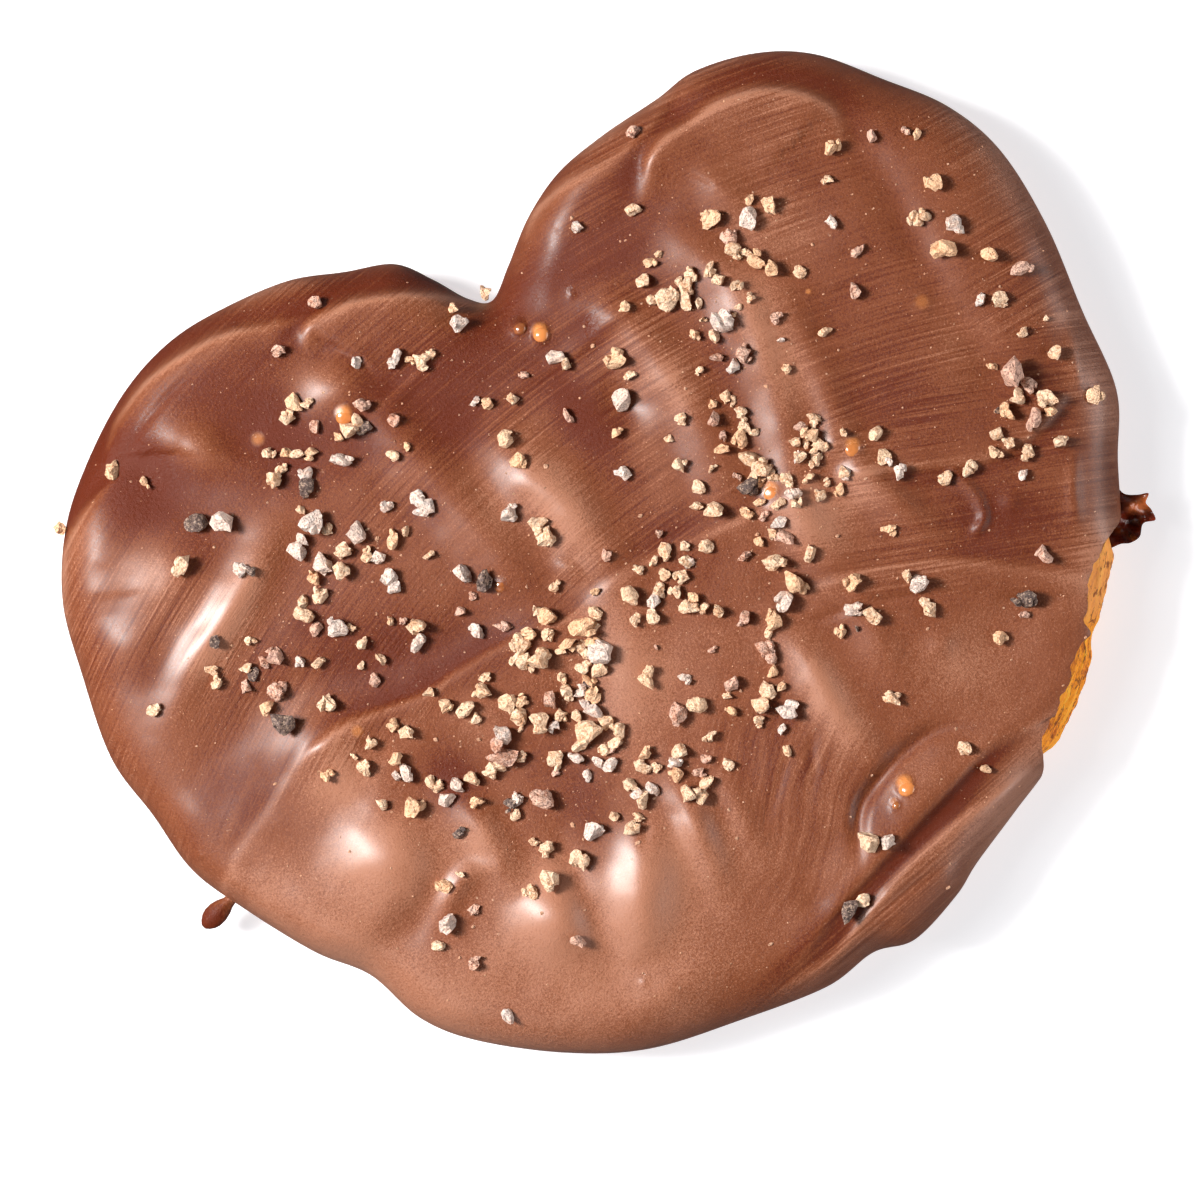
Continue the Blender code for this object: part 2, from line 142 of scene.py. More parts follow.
def add_world(walls, ceiling):
    """A studio with pale walls under a darker ceiling."""
    world = bpy.data.worlds.new("studio")
    world.use_nodes = True
    tree = world.node_tree
    back = tree.nodes["Background"]
    back.inputs["Color"].default_value = (0.97, 0.98, 1.0, 1.0)
    place = tree.nodes.new("ShaderNodeTexCoord")
    split = tree.nodes.new("ShaderNodeSeparateXYZ")
    fade = tree.nodes.new("ShaderNodeMapRange")
    fade.interpolation_type = "SMOOTHSTEP"
    for socket, value in (("From Min", 0.55), ("From Max", 0.9), ("To Min", walls),
                          ("To Max", ceiling)):
        fade.inputs[socket].default_value = value
    tree.links.new(place.outputs["Generated"], split.inputs[0])
    tree.links.new(split.outputs["Z"], fade.inputs["Value"])
    tree.links.new(fade.outputs[0], back.inputs["Strength"])
    bpy.context.scene.world = world


add_table()
add_world(0.11, 0.03)
add_panel("key", toward(KEY_HEADING, KEY_HEIGHT, 1.1), (0.26, 0.26), 23.0, (1.0, 0.985, 0.96))
add_panel("high_left", toward(150.0, 58.0, 1.1), (0.30, 0.30), 3.5)
add_panel("soft_front", toward(212.0, 38.0, 1.2), (0.9, 0.6), 1.8)
add_panel("right_card", toward(-30.0, 16.0, 1.0), (1.0, 0.4), 6.0, (1.0, 0.98, 0.97))
view = bpy.context.scene.view_settings
view.view_transform = "Standard"
view.look = "None"
view.exposure = 0.0

# %% [markdown]
# ## Shader maths as plain expressions
#
# A node tree for a pattern of brush strokes would be a hundred boxes if drawn by hand. Here one
# small class wraps a socket, and Python's own operators add the Math nodes. Any other node
# comes from a single method that sets its options first and its sockets after.

# %% A socket with operators
class Field:
    """A value that varies over a surface: a socket, and the tree that it belongs to."""

    def __init__(self, paint, socket):
        self.paint = paint
        self.socket = socket

    def math(self, operation, *others):
        node = self.paint.node("ShaderNodeMath", {"operation": operation}, [self, *others])
        return node[0]

    def __add__(self, other):
        return self.math("ADD", other)

    def __radd__(self, other):
        return self.math("ADD", other)

    def __sub__(self, other):
        return self.math("SUBTRACT", other)

    def __rsub__(self, other):
        return self.math("MULTIPLY_ADD", -1.0, other)

    def __mul__(self, other):
        return self.math("MULTIPLY", other)

    def __rmul__(self, other):
        return self.math("MULTIPLY", other)

    def __truediv__(self, other):
        return self.math("DIVIDE", other)

    def __neg__(self):
        return self.math("MULTIPLY", -1.0)

    def __pow__(self, other):
        return self.math("POWER", other)

    def clamp(self):
        return self.math("MAXIMUM", 0.0).math("MINIMUM", 1.0)

    def bell(self):
        """1 where the value is 0, falling smoothly to both sides."""
        return (-(self * self)).math("EXPONENT")

    def step(self, low, high):
        """A smooth 0 to 1 as the value goes from low to high."""
        return self.paint.node("ShaderNodeMapRange", {"interpolation_type": "SMOOTHSTEP"},
                               {"Value": self, "From Min": low, "From Max": high})[0]


class Paint:
    """A material, its Principled shader, and the nodes that feed it."""

    def __init__(self, name, **settings):
        self.material = bpy.data.materials.new(name)
        self.material.use_nodes = True
        self.tree = self.material.node_tree
        self.shader = self.tree.nodes["Principled BSDF"]
        for socket, value in settings.items():
            self.set(socket.replace("_", " "), value)

    def node(self, kind, settings=None, sockets=None):
        """A node of any kind; its enabled outputs come back as fields."""
        node = self.tree.nodes.new(kind)
        for key, value in (settings or {}).items():
            setattr(node, key, value)
        pairs = sockets.items() if isinstance(sockets, dict) else enumerate(sockets or [])
        for key, value in pairs:
            self.feed(node.inputs[key], value)
        return [Field(self, out) for out in node.outputs if out.enabled]

    def feed(self, socket, value):
        if isinstance(value, Field):
            self.tree.links.new(value.socket, socket)
        elif hasattr(value, "__len__") and len(value) == 3 and socket.type == "RGBA":
            socket.default_value = (*value, 1.0)
        else:
            socket.default_value = value

    def set(self, socket, value):
        self.feed(self.shader.inputs[socket], value)

    def place(self):
        """Object coordinates in millimetres, as a vector and as x, y and z."""
        vector = self.node("ShaderNodeTexCoord")[3]
        scaled = self.node("ShaderNodeVectorMath", {"operation": "SCALE"},
                           {0: vector, "Scale": 1 / MM})[0]
        x, y, z = self.node("ShaderNodeSeparateXYZ", None, [scaled])
        return scaled, x, y, z

    def vector(self, x, y, z):
        return self.node("ShaderNodeCombineXYZ", None, [x, y, z])[0]

    def noise(self, vector, scale=1.0, detail=3.0, roughness=0.5, distortion=0.0):
        return self.node("ShaderNodeTexNoise", None,
                         {"Vector": vector, "Scale": scale, "Detail": detail,
                          "Roughness": roughness, "Distortion": distortion})[0]

    def blend(self, share, a, b):
        """Colour a where the share is 0 and b where it is 1."""
        return self.node("ShaderNodeMix", {"data_type": "RGBA"},
                         {"Factor": share, 6: a, 7: b})[0]

    def stored(self, name):
        """A value stored on the mesh's points."""
        return self.node("ShaderNodeAttribute", {"attribute_name": name})[2]

    def bump(self, height, depth, strength=1.0, under=None):
        """A normal from a height field, whose full range is depth metres."""
        sockets = {"Height": height, "Distance": depth, "Strength": strength}
        if under is not None:
            sockets["Normal"] = under
        return self.node("ShaderNodeBump", None, sockets)[0]


print("shader helper ready")

# %% [markdown]
# ## Curves and distances
#
# Nearly every feature of the coat is a line drawn on the heart: the edge itself, the shoulder of
# a rolled layer, a brush mark, a crease. One smooth curve through a few chosen points, and the
# distance of every surface point to it, is enough to raise or sink all of them.

# %% Curve tools
def smoothstep(x):
    x = np.clip(x, 0.0, 1.0)
    return x * x * (3.0 - 2.0 * x)


def spline(points, closed=False, steps=10):
    """Catmull-Rom curve through the points."""
    p = np.asarray(points, float)
    if closed:
        p = np.vstack([p[-1], p, p[:2]])
    else:
        p = np.vstack([2 * p[0] - p[1], p, 2 * p[-1] - p[-2]])
    a, b, c, d = p[:-3], p[1:-2], p[2:-1], p[3:]
    rows = []
    for s in np.arange(steps) / steps:
        rows.append(0.5 * (2 * b + (c - a) * s + (2 * a - 5 * b + 4 * c - d) * s ** 2
                           + (3 * b - a - 3 * c + d) * s ** 3))
    curve = np.stack(rows, axis=1).reshape(-1, p.shape[1])
    return curve if closed else np.vstack([curve, p[-2]])


def nearest(curve, xy, reach=None, rows=3000):
    """Distance to a curve, side of it (+1 left) and place along it; far points are skipped."""
    dist = np.full(len(xy), 1e9)
    side = np.ones(len(xy))
    place = np.zeros(len(xy))
    near = np.arange(len(xy))
    if reach is not None:
        low, high = curve.min(0) - reach, curve.max(0) + reach
        near = np.flatnonzero(((xy > low) & (xy < high)).all(1))
    start, step = curve[:-1], np.diff(curve, axis=0)
    length = np.maximum((step ** 2).sum(1), 1e-18)
    for k in range(0, len(near), rows):
        part = near[k:k + rows]
        off = xy[part][:, None, :] - start
        along = np.clip((off * step).sum(2) / length, 0.0, 1.0)
        gap = off - along[..., None] * step
        square = (gap ** 2).sum(2)
        best = square.argmin(1)
        pick = np.arange(len(part))
        cross = step[best, 0] * off[pick, best, 1] - step[best, 1] * off[pick, best, 0]
        dist[part] = np.sqrt(square[pick, best])
        side[part] = np.where(cross >= 0, 1.0, -1.0)
        place[part] = (best + along[pick, best]) / len(start)
    return dist, side, place


LATTICE = np.random.default_rng(11).random((256, 256))


def value_noise(x, y):
    """Smooth random hills about one unit apart, from -1 to 1."""
    i, j = np.floor(x).astype(int), np.floor(y).astype(int)
    u, v = smoothstep(x - i), smoothstep(y - j)
    near = LATTICE[i % 256, j % 256] * (1 - u) + LATTICE[(i + 1) % 256, j % 256] * u
    far = LATTICE[i % 256, (j + 1) % 256] * (1 - u) + LATTICE[(i + 1) % 256, (j + 1) % 256] * u
    return (near * (1 - v) + far * v) * 2 - 1


def layered_noise(x, y, octaves=3):
    """Hills with smaller hills on them."""
    total = np.zeros(len(x))
    for k in range(octaves):
        total += value_noise(x * 2 ** k + 17.3 * k, y * 2 ** k + 5.1 * k) / 2 ** k
    return total / (2 - 0.5 ** (octaves - 1))


# %% [markdown]
# ## The outline
#
# The heart isn't symmetrical: its right lobe is bigger, its left flank swings out low down and
# its edge is scalloped where each rolled layer ends. So the outline is a closed curve through
# one point for each crest and dip, and it is centred on the middle of its own box.

# %% Outline
OUTLINE_MM = [
    (1.0, 49.3), (5.5, 53.0), (11.5, 58.3), (18.5, 62.3), (27.0, 64.4), (36.5, 65.7),
    (43.5, 67.0), (53.0, 65.4), (61.0, 61.3), (68.5, 53.5), (75.5, 45.5), (79.7, 36.0),
    (81.0, 23.0), (80.2, 9.0), (79.6, -4.0), (75.2, -13.5), (70.5, -24.0), (64.5, -31.5),
    (56.5, -41.5), (46.5, -49.8), (38.0, -54.4), (29.5, -58.8), (24.5, -61.9), (16.0, -65.1),
    (9.5, -64.1), (1.0, -65.7), (-13.0, -64.5), (-27.0, -62.4), (-38.5, -57.5), (-50.0, -49.8),
    (-56.2, -43.0), (-60.0, -34.0), (-66.0, -27.2), (-72.5, -17.0), (-77.2, -8.0),
    (-78.9, 2.0), (-80.8, 12.5), (-79.2, 26.0), (-77.0, 37.0), (-71.5, 47.0), (-63.5, 55.0),
    (-54.5, 61.4), (-45.5, 65.0), (-36.5, 66.0), (-25.5, 65.5), (-17.0, 62.9), (-9.8, 60.7),
    (-5.6, 56.0), (-2.2, 51.2),
]


def centred_outline():
    """The outline in metres, centred, and the shift in millimetres that centred it."""
    curve = spline(OUTLINE_MM, closed=True)
    shift = (curve.min(0) + curve.max(0)) / 2
    return (curve - shift) * MM, shift


OUTLINE, SHIFT_MM = centred_outline()
OUTLINE_LOOP = np.vstack([OUTLINE, OUTLINE[:1]])
print("outline mm:", np.round(np.ptp(OUTLINE, axis=0) / MM, 1), "points:", len(OUTLINE))


def evenly(count):
    """The outline as evenly spaced points, counter-clockwise from the lower right diagonal."""
    loop = OUTLINE[::-1]
    angle = np.degrees(np.arctan2(loop[:, 1], loop[:, 0]))
    loop = np.roll(loop, -int(np.abs(angle + 45.0).argmin()), axis=0)
    ring = np.vstack([loop, loop[:1]])
    travel = np.concatenate([[0.0], np.cumsum(np.hypot(*np.diff(ring, axis=0).T))])
    marks = np.arange(count) / count * travel[-1]
    return np.column_stack([np.interp(marks, travel, ring[:, k]) for k in (0, 1)])


def outward(ring):
    """Unit normals of a counter-clockwise ring, pointing away from its inside."""
    tangent = np.roll(ring, -1, axis=0) - np.roll(ring, 1, axis=0)
    tangent /= np.linalg.norm(tangent, axis=1)[:, None]
    return np.column_stack([tangent[:, 1], -tangent[:, 0]])


def drawn_in(ring, inset):
    """The ring moved inwards along its own normals."""
    return ring - outward(ring) * np.broadcast_to(inset, len(ring))[:, None]


# %% [markdown]
# ## The relief of the coat
#
# Under the chocolate lie the edges of the rolled layers. Each shows as a long soft shoulder, and
# between two of them the coat pooled. Lists of lines and bumps, each with its height and width,
# read like a map of the real surface, and are far easier to correct than a sculpted mesh. Every
# point of a line carries its own height, so a ridge swells and dies away as the real ones do.
# Steps have their higher ground on the right hand as the line runs.

# %% Relief map, in millimetres
STEPS_MM = [
    # points of (x, y, height), width of the slope outside, how far the raised ground reaches
    ([(-77.8, 33, 0.2), (-77, 36.8, 0.9), (-75.6, 39.6, 1.2), (-73.3, 43.3, 1.5),
      (-69.9, 45.7, 1.5), (-67, 47.4, 1.3), (-62.4, 49.3, 0.8), (-58, 50.5, 0)], 1.7, 15),
    ([(-61.6, 50.0, 0), (-61.3, 52.9, 0.5), (-59.8, 55.3, 1.0), (-57, 57.7, 1.5),
      (-51.2, 60.5, 2.1), (-44.4, 61.7, 2.1), (-37.1, 61.7, 1.8), (-30.7, 60.0, 1.0),
      (-24, 58.7, 0)], 1.9, 16),
    ([(-27.5, 54.2, 0), (-26, 56.8, 1.0), (-24, 57.7, 1.5), (-18.2, 57.7, 1.8), (-11, 55.5, 1.7),
      (-7.6, 53.9, 1.4), (-3.9, 51.9, 0.9), (0, 49, 0)], 1.8, 14),
    ([(9, 55, 0), (12.5, 58.2, 1.0), (18, 59.7, 1.2), (26, 59.9, 1.0), (32, 61.6, 0.7),
      (37, 63.4, 0)], 1.6, 10),
    ([(27, 52, 0), (29.5, 55, 0.8), (31.5, 57.6, 1.4), (34.8, 59.1, 1.7), (39, 59.6, 1.8),
      (44, 60.4, 1.9), (48.9, 59.8, 1.9), (52.4, 58.6, 1.8), (56.2, 55.9, 1.4),
      (58.7, 52.8, 0.9), (58.8, 49.9, 0.4), (58, 46, 0)], 1.9, 15),
    ([(-74.6, -12.8, 0.1), (-69.5, -9, 0.12), (-62.4, -5.1, 0.15), (-55.1, -0.7, 0.25),
      (-50.8, 0.8, 0.6), (-45.8, 1.4, 0.9), (-39.3, 0.9, 0.9), (-33.8, 0.4, 0.8),
      (-28.2, 1.2, 0.7), (-20, 1.8, 0.6), (-8, 1.2, 0.4), (-3, 0, 0)], 1.2, 16),
    ([(-8, 1.5, 0), (0, 3.4, 0.4), (10, 3.7, 0.5), (20, 3.2, 0.5), (28, 3.0, 0.3),
      (34, 2.6, 0)], 1.5, 12),
    ([(74, -0.5, 0), (70, -2.2, 0.5), (65, -4.3, 0.7), (57, -4.6, 0.7), (51, -2.8, 0.6),
      (45, -0.4, 0.6), (40, 1.4, 0.4), (35, 2.6, 0)], 1.2, 11),
    ([(22, -10.5, 0), (28, -11, 0.3), (36, -12.6, 0.5), (46, -16.4, 0.6), (54, -21.5, 0.5),
      (62, -27, 0.2)], 1.2, 8),
    ([(46, -43.6, 0.3), (38, -43.8, 0.8), (30, -46.7, 1.1), (22, -49.6, 1.2), (14, -52.5, 1.0),
      (6, -56, 0.8), (-2, -60.2, 0.1)], 1.5, 8),
    ([(-6, -62.8, 0), (4, -61.4, 0.5), (12, -57.6, 0.7), (20, -54.1, 0.7), (30, -51.6, 0.6),
      (42, -49.6, 0.2)], 0.9, 6),
]

RIDGES_MM = [
    # points of (x, y, height), half-width
    ([(-50, 50, 0.1), (-47, 46, 0.8), (-43, 42, 0.6), (-40, 38, 0)], 2.8),
    ([(-23, 46, 0.4), (-20.8, 37, 1.5), (-17.8, 27, 1.6), (-15, 15, 1.6), (-13.8, 7, 0.9),
      (-13, 0, 0.2)], 3.8),
    ([(-72, 11.5, 0.1), (-64, 18.8, 1.4), (-55.5, 23.6, 1.9), (-48, 28.8, 1.5), (-41, 34, 0.2)],
     3.0),
    ([(-9, 33, 0.0), (-7.3, 28, 1.0), (-4.8, 22, 2.3), (-2.2, 15, 2.3), (-1, 8, 1.3),
      (-2, 0, 0.7), (-4, -8, 1.0), (-6.5, -15, 0.4)], 4.2),
    ([(11, 46, 0.0), (14, 43, 0.5), (17, 38, 1.5), (19.3, 30, 1.6), (20.5, 22, 1.3),
      (20.5, 12, 0.9), (19, 3, 0.2)], 3.6),
    ([(28.5, 49, 0.1), (31, 43, 0.9), (34.5, 33, 2.0), (33.5, 22, 1.7), (31.2, 10, 1.4),
      (28.5, 0, 1.6), (29, -7, 0.9), (30, -14, 0.1)], 3.6),
    ([(36.5, 54, 0.2), (39.2, 48, 1.1), (41, 42, 0.4), (40.3, 34, 0.5), (40.2, 27, 1.0),
      (39.8, 18, 1.0), (39.2, 10, 1.1), (39, 4, 0.3)], 2.8),
    ([(37, 5, 0.2), (39.8, 0, 1.7), (42.5, -6, 1.5), (45.5, -12, 0.4), (47, -16, 0)], 2.6),
    ([(60, 52, -0.2), (61, 42, -0.7), (61.5, 30, -0.8), (62, 18, -0.7), (63, 6, -0.2)], 3.4),
    ([(-70, 4, -0.4), (-56, 9, -1.0), (-36, 6.5, -1.0), (-22, 6, -0.8), (-10, 5, -0.2)], 4.5),
    ([(-36, -15, 0.3), (-34.9, -21, 1.4), (-34.3, -28, 1.1), (-34, -33, 0.2)], 2.7),
    ([(-22, -50, 0.2), (-19.5, -44, 2.2), (-15.5, -37, 2.6), (-11.5, -30, 0.6)], 4.7),
    ([(-5.8, -26, 0.3), (-6, -34, 1.9), (-6.3, -40, 1.5), (-7, -47, 0.2)], 2.7),
    ([(0.8, -28, 0.2), (0.8, -36, 0.7), (0.6, -44, 0.1)], 2.2),
    ([(18.5, -12, 0.2), (19.8, -20, 1.4), (20, -28, 1.5), (21.5, -34, 1.0), (23, -39, 0.2)], 2.9),
    ([(29.5, -13, 0.2), (30.5, -21, 1.0), (31, -28, 0.3)], 2.8),
    ([(-67, -5, 0), (-65, -13, 0.3), (-63, -21, 0.7), (-60, -27, 0.7), (-54, -33, 0.1)], 3.2),
    ([(-49, -32, 0.1), (-44, -28.5, 0.9), (-40, -26.5, 1.0), (-36, -27.5, 0.3)], 1.6),
    ([(-59, -30, -0.3), (-51, -29.5, -1.0), (-44, -24, -0.9), (-41.5, -12, -0.4)], 3.4),
    ([(-26, -49, -0.2), (-26, -38, -0.9), (-25, -27, -0.4)], 2.4),
    ([(13.5, -50, -0.2), (16.5, -44, -1.1), (20, -41.4, -1.3), (27, -38.6, -1.2),
      (33, -38, -0.9), (40, -40.5, -0.1)], 1.2),
    ([(17, -14.6, 0), (30, -16.1, -0.4), (40, -19, -0.4), (48, -23.4, 0)], 0.7),
    ([(49, -24, 0), (55, -27, -0.5), (62, -30, -0.1)], 0.9),
    ([(8, -60, 0), (17, -57.6, -0.35), (28, -56, 0)], 0.7),
    ([(-60, 51, 0), (-55, 54.4, -0.3), (-50, 56.7, -0.35), (-45.5, 58.3, -0.3), (-40, 60.4, 0)],
     0.7),
    ([(-9, 36.3, 0), (0, 36, 0.4), (8, 36.6, 0.4), (16, 38.6, 0.3), (22, 41.5, 0)], 1.3),
    ([(29, 61, 0), (35, 61.9, -0.7), (38.5, 63.6, -0.8), (40.5, 66, -0.5)], 1.1),
    ([(64, -21, 0), (66.5, -14.5, 0.6), (69.5, -8.5, 0)], 1.2),
    ([(73, -4, 0), (75.5, 3, 0.5), (77.8, 9, 0)], 1.3),
    ([(51.2, -4.4, 0.7), (52.6, -7.2, 1.0), (53.1, -10, 1.0), (52.6, -12.4, 1.0),
      (51.0, -13.6, 0.9)], 0.75),
    ([(0.5, -41.5, 0), (6, -36.4, -0.22), (9.3, -33, -0.22), (12.3, -29.6, 0)], 0.8),
    ([(8.5, -41, 0), (13, -35.6, -0.25), (14.4, -32, -0.25), (16.8, -30, 0)], 0.8),
    ([(-15, -35, 0), (-13.4, -32.8, -0.3), (-11.8, -30.5, 0)], 0.8),
    ([(-23, 40.4, 0), (-17, 42.3, 0.3), (-10, 45.3, 0)], 1.0),
]

BUMPS_MM = [
    # x, y, two half-widths, turn in degrees, height
    (-48.5, 49, 5.4, 4.0, -45, 1.5), (-61, 33.5, 7.8, 6.8, 0, 1.6), (-69.5, 25.5, 4, 4.5, 0, 0.8),
    (-25.6, 47.0, 4.6, 4.2, 0, 1.6), (-48.3, -20, 8.4, 7.8, 0, 3.1), (-30.5, -38.5, 6.2, 5.8, 25, 2.8),
    (-50.5, 0.2, 6.0, 5.2, 0, 1.5), (38.6, -26.6, 2.2, 2.0, 0, 0.7), (26, -45, 6.5, 2.8, 22, 0.9),
    (-21, -55.5, 8, 3.2, 12, 0.8), (12, 26.5, 2.8, 3.6, 0, -1.1), (46, -31, 7, 8, 20, -1.0),
    (57.3, -12, 1.4, 1.4, 0, 0.6), (5, -53, 2.8, 2.6, 0, -0.7), (31.5, 31, 2.2, 2.6, 0, 0.5),
    (37.3, 7.2, 1.9, 1.9, 0, 0.8), (-6.4, 8.0, 1.0, 2.2, 25, 0.6), (67, 27, 7, 12, 0, 0.8),
    (-15, -13, 10, 9, 0, -0.5), (6, -12, 7, 7, 0, 0.4),
]

RIDGE_GAIN = 0.95

# Air bubbles that set in the coat, glossy and thin enough to let the pastry's colour through.
BUBBLES_MM = [
    # x, y, radius, height, amber from 0 to 1
    (5.2, 41.1, 1.5, 0.75, 1.0), (2.7, 43.6, 1.3, 0.7, 0.15), (-26.4, 42.8, 1.6, 0.45, 0.9),
    (-39.6, 44.9, 1.3, 0.15, 0.45), (58.3, 19.9, 1.5, 0.15, 0.3), (25.6, 4.9, 1.7, 0.35, 0.75),
    (39.6, 5.3, 1.5, 0.4, 0.75), (24.5, -43.3, 1.6, 0.6, 0.9), (21.9, -45.1, 0.8, 0.35, 0.3),
    (-45.3, -0.7, 1.2, 0.15, 0.42), (43.7, 28.7, 0.55, 0.15, 0.6), (-23.2, -52.5, 0.7, 0.2, 0.2),
    (-16.6, 9.9, 1.2, 0.3, 0.2), (11.9, 44.4, 0.7, 0.25, 0.1), (-74.8, -6.4, 0.5, 0.2, 0.2),
]


def to_mm(xy):
    """Points in metres as millimetres of the map above."""
    return xy / MM + SHIFT_MM


def relief(xy):
    """Height of the map's features at each point, in millimetres, and a painted highlight on each
    step's crest with painted shade on the slope below it.
    """
    q = to_mm(xy)
    total = 0.30 * layered_noise(q[:, 0] / 11, q[:, 1] / 9)
    crest_light_shade = np.zeros(len(q))
    for points, width, reach in STEPS_MM:
        line = spline(points)
        dist, side, place = nearest(line[:, :2], q, reach)
        height = np.interp(place * (len(line) - 1), np.arange(len(line)), line[:, 2])
        inward = -side * dist
        fall = 1 - smoothstep(inward / reach)
        slope = sum(np.clip(1 + (inward + k) / width, 0, 1) ** 1.6 for k in (-0.3, 0.0, 0.3)) / 3
        lip = 0.10 * np.exp(-((inward - 0.9) / 1.2) ** 2)
        shown = np.where(dist < reach, height, 0)
        total += shown * (slope * fall + lip)
        # Painted highlight along the crest, painted shade on the slope outside it.
        crest_light_shade += np.sqrt(shown) * (0.62 * np.exp(-((inward - 0.1) / 0.6) ** 2)
                                   + 0.22 * np.exp(-((inward - 0.5) / 1.6) ** 2)
                                   - 0.5 * np.exp(-((inward + 1.4 * width) / width) ** 2))
    for points, width in RIDGES_MM:
        line = spline(points)
        dist, _, place = nearest(line[:, :2], q, 3 * width)
        height = np.interp(place * (len(line) - 1), np.arange(len(line)), line[:, 2])
        total += RIDGE_GAIN * height * np.exp(-(dist / width) ** 2)
    for x, y, half_x, half_y, turn, height in BUMPS_MM:
        c, s = math.cos(math.radians(turn)), math.sin(math.radians(turn))
        u = (q[:, 0] - x) * c + (q[:, 1] - y) * s
        v = (q[:, 1] - y) * c - (q[:, 0] - x) * s
        total += RIDGE_GAIN * height * np.exp(-(u / half_x) ** 2 - (v / half_y) ** 2)
    return total, crest_light_shade


def bubbles(xy):
    """Low glossy domes where air was caught, each on a soft mound, in millimetres."""
    q = to_mm(xy)
    total = np.zeros(len(q))
    for x, y, radius, height, _ in BUBBLES_MM:
        gap = np.hypot(q[:, 0] - x, q[:, 1] - y) / radius
        total += height * (np.clip(1 - gap ** 2, 0, 1) ** 0.75 + 0.35 * np.exp(-(gap / 1.5) ** 2))
    return total


# %% [markdown]
# ## Top and side as one skin
#
# The top is a square grid laid into the heart ring by ring, so the cells stay even and never
# meet in a pole. The height rises from the girth through a rounded edge into a gentle dome. The
# side is a band of rings that hangs from the same edge down to the wavy lower lip, where the
# coat turns under and runs up again on the inside. That keeps the lip as thick as real
# chocolate when it is seen from the side.

# %% Profile of the coat
GIRTH_HEIGHT = 9.0 * MM
SHOULDER_HEIGHT = 17.0 * MM
CROWN_RISE = 3.6 * MM
EDGE_WIDTH = 9.5 * MM
SIDE_COVER = 1.5 * MM
LIP_HEIGHT = 2.6 * MM
LIP_WAVE = 0.7 * MM
BARE_CENTRE, BARE_HALF, BARE_BLEND = -33.5, 14.5, 5.0
BARE_LIP_RISE = 10.0 * MM
BARE_GIRTH_RISE = 5.0 * MM
BARE_INSET = 3.1 * MM
CELLS = 136


def heading(xy):
    return np.degrees(np.arctan2(xy[:, 1], xy[:, 0]))


def bareness(xy, margin=0.0):
    """1 on the bare flank, 0 elsewhere."""
    inside = BARE_HALF - margin + BARE_BLEND / 2 - np.abs(heading(xy) - BARE_CENTRE)
    return smoothstep(inside / BARE_BLEND)


def lip_height(xy):
    angle = np.radians(heading(xy))
    wave = np.sin(7 * angle + 0.6) * 0.6 + np.sin(16 * angle + 2.0) * 0.4
    fine = 0.35 * value_noise(angle * 14, angle * 0)
    return LIP_HEIGHT + LIP_WAVE * (wave + fine) + BARE_LIP_RISE * bareness(xy)


def coat_top(xy):
    """Height of the coat's upper surface at each point, in metres."""
    depth = nearest(OUTLINE_LOOP, xy)[0]
    low = GIRTH_HEIGHT + BARE_GIRTH_RISE * bareness(xy)
    turn = np.radians(heading(xy))
    width = EDGE_WIDTH * (1 + 0.22 * np.sin(3 * turn + 1.0) + 0.18 * np.sin(8 * turn + 2.4))
    round_edge = np.sqrt(1 - (1 - np.clip(depth / width, 0, 1)) ** 2.7)
    dome = CROWN_RISE * (1 - np.exp(-depth / (2.2 * EDGE_WIDTH)))
    smooth = low + (SHOULDER_HEIGHT - low) * round_edge + dome
    return smooth + (relief(xy)[0] * smoothstep(depth / (3 * MM)) + bubbles(xy)) * MM


# %% Mesh tools
def disc_cells(n):
    """A square grid of cells as rings about its middle: ring share, share round it, quads."""
    axis = np.arange(-n, n + 1)
    i, j = np.meshgrid(axis, axis, indexing="ij")
    k = np.maximum(abs(i), abs(j))
    place = np.where((i == k) & (j < k), j + k,
                     np.where((j == k) & (i > -k), 3 * k - i,
                              np.where((i == -k) & (j > -k), 5 * k - j, 7 * k + i)))
    turn = place / np.maximum(8 * k, 1)
    side = 2 * n + 1
    first = (np.arange(side - 1)[:, None] * side + np.arange(side - 1)).ravel()
    quads = np.column_stack([first, first + side, first + side + 1, first + 1])
    return (k / n).ravel(), turn.ravel(), quads


class Skin:
    """Points, faces and stored values gathered for one mesh."""

    def __init__(self):
        self.points = []
        self.faces = []
        self.count = 0

    def add(self, points):
        self.points.append(np.asarray(points, float))
        self.count += len(points)
        return np.arange(self.count - len(points), self.count)

    def cap(self, ring, n, height):
        """A top over the ring, with height as a function of place. Returns its rim's indices."""
        share, turn, quads = disc_cells(n)
        spread = 1.13 * share - 0.13 * share ** 8
        closed = np.vstack([ring, ring[:1]])
        marks = np.arange(len(closed))
        edge = np.column_stack([np.interp(turn * len(ring), marks, closed[:, k]) for k in (0, 1)])
        xy = edge * spread[:, None]
        ids = self.add(np.column_stack([xy, height(xy)]))
        self.faces.extend(ids[quads].tolist())
        rim = np.flatnonzero(share > 1 - 1e-9)
        return ids[rim[np.argsort(turn[rim])]]

    def band(self, upper, lower):
        """Quads between two rings of one size."""
        rows = np.column_stack([lower, np.roll(lower, -1), np.roll(upper, -1), upper])
        self.faces.extend(rows.tolist())

    def to_object(self, name, sharp=180.0):
        mesh = bpy.data.meshes.new(name)
        mesh.from_pydata(np.vstack(self.points).tolist(), [], self.faces)
        work = bmesh.new()
        work.from_mesh(mesh)
        bmesh.ops.recalc_face_normals(work, faces=work.faces)
        work.to_mesh(mesh)
        work.free()
        mesh.shade_smooth()
        if sharp < 180.0:
            mesh.set_sharp_from_angle(angle=math.radians(sharp))
        item = bpy.data.objects.new(name, mesh)
        bpy.context.collection.objects.link(item)
        return item


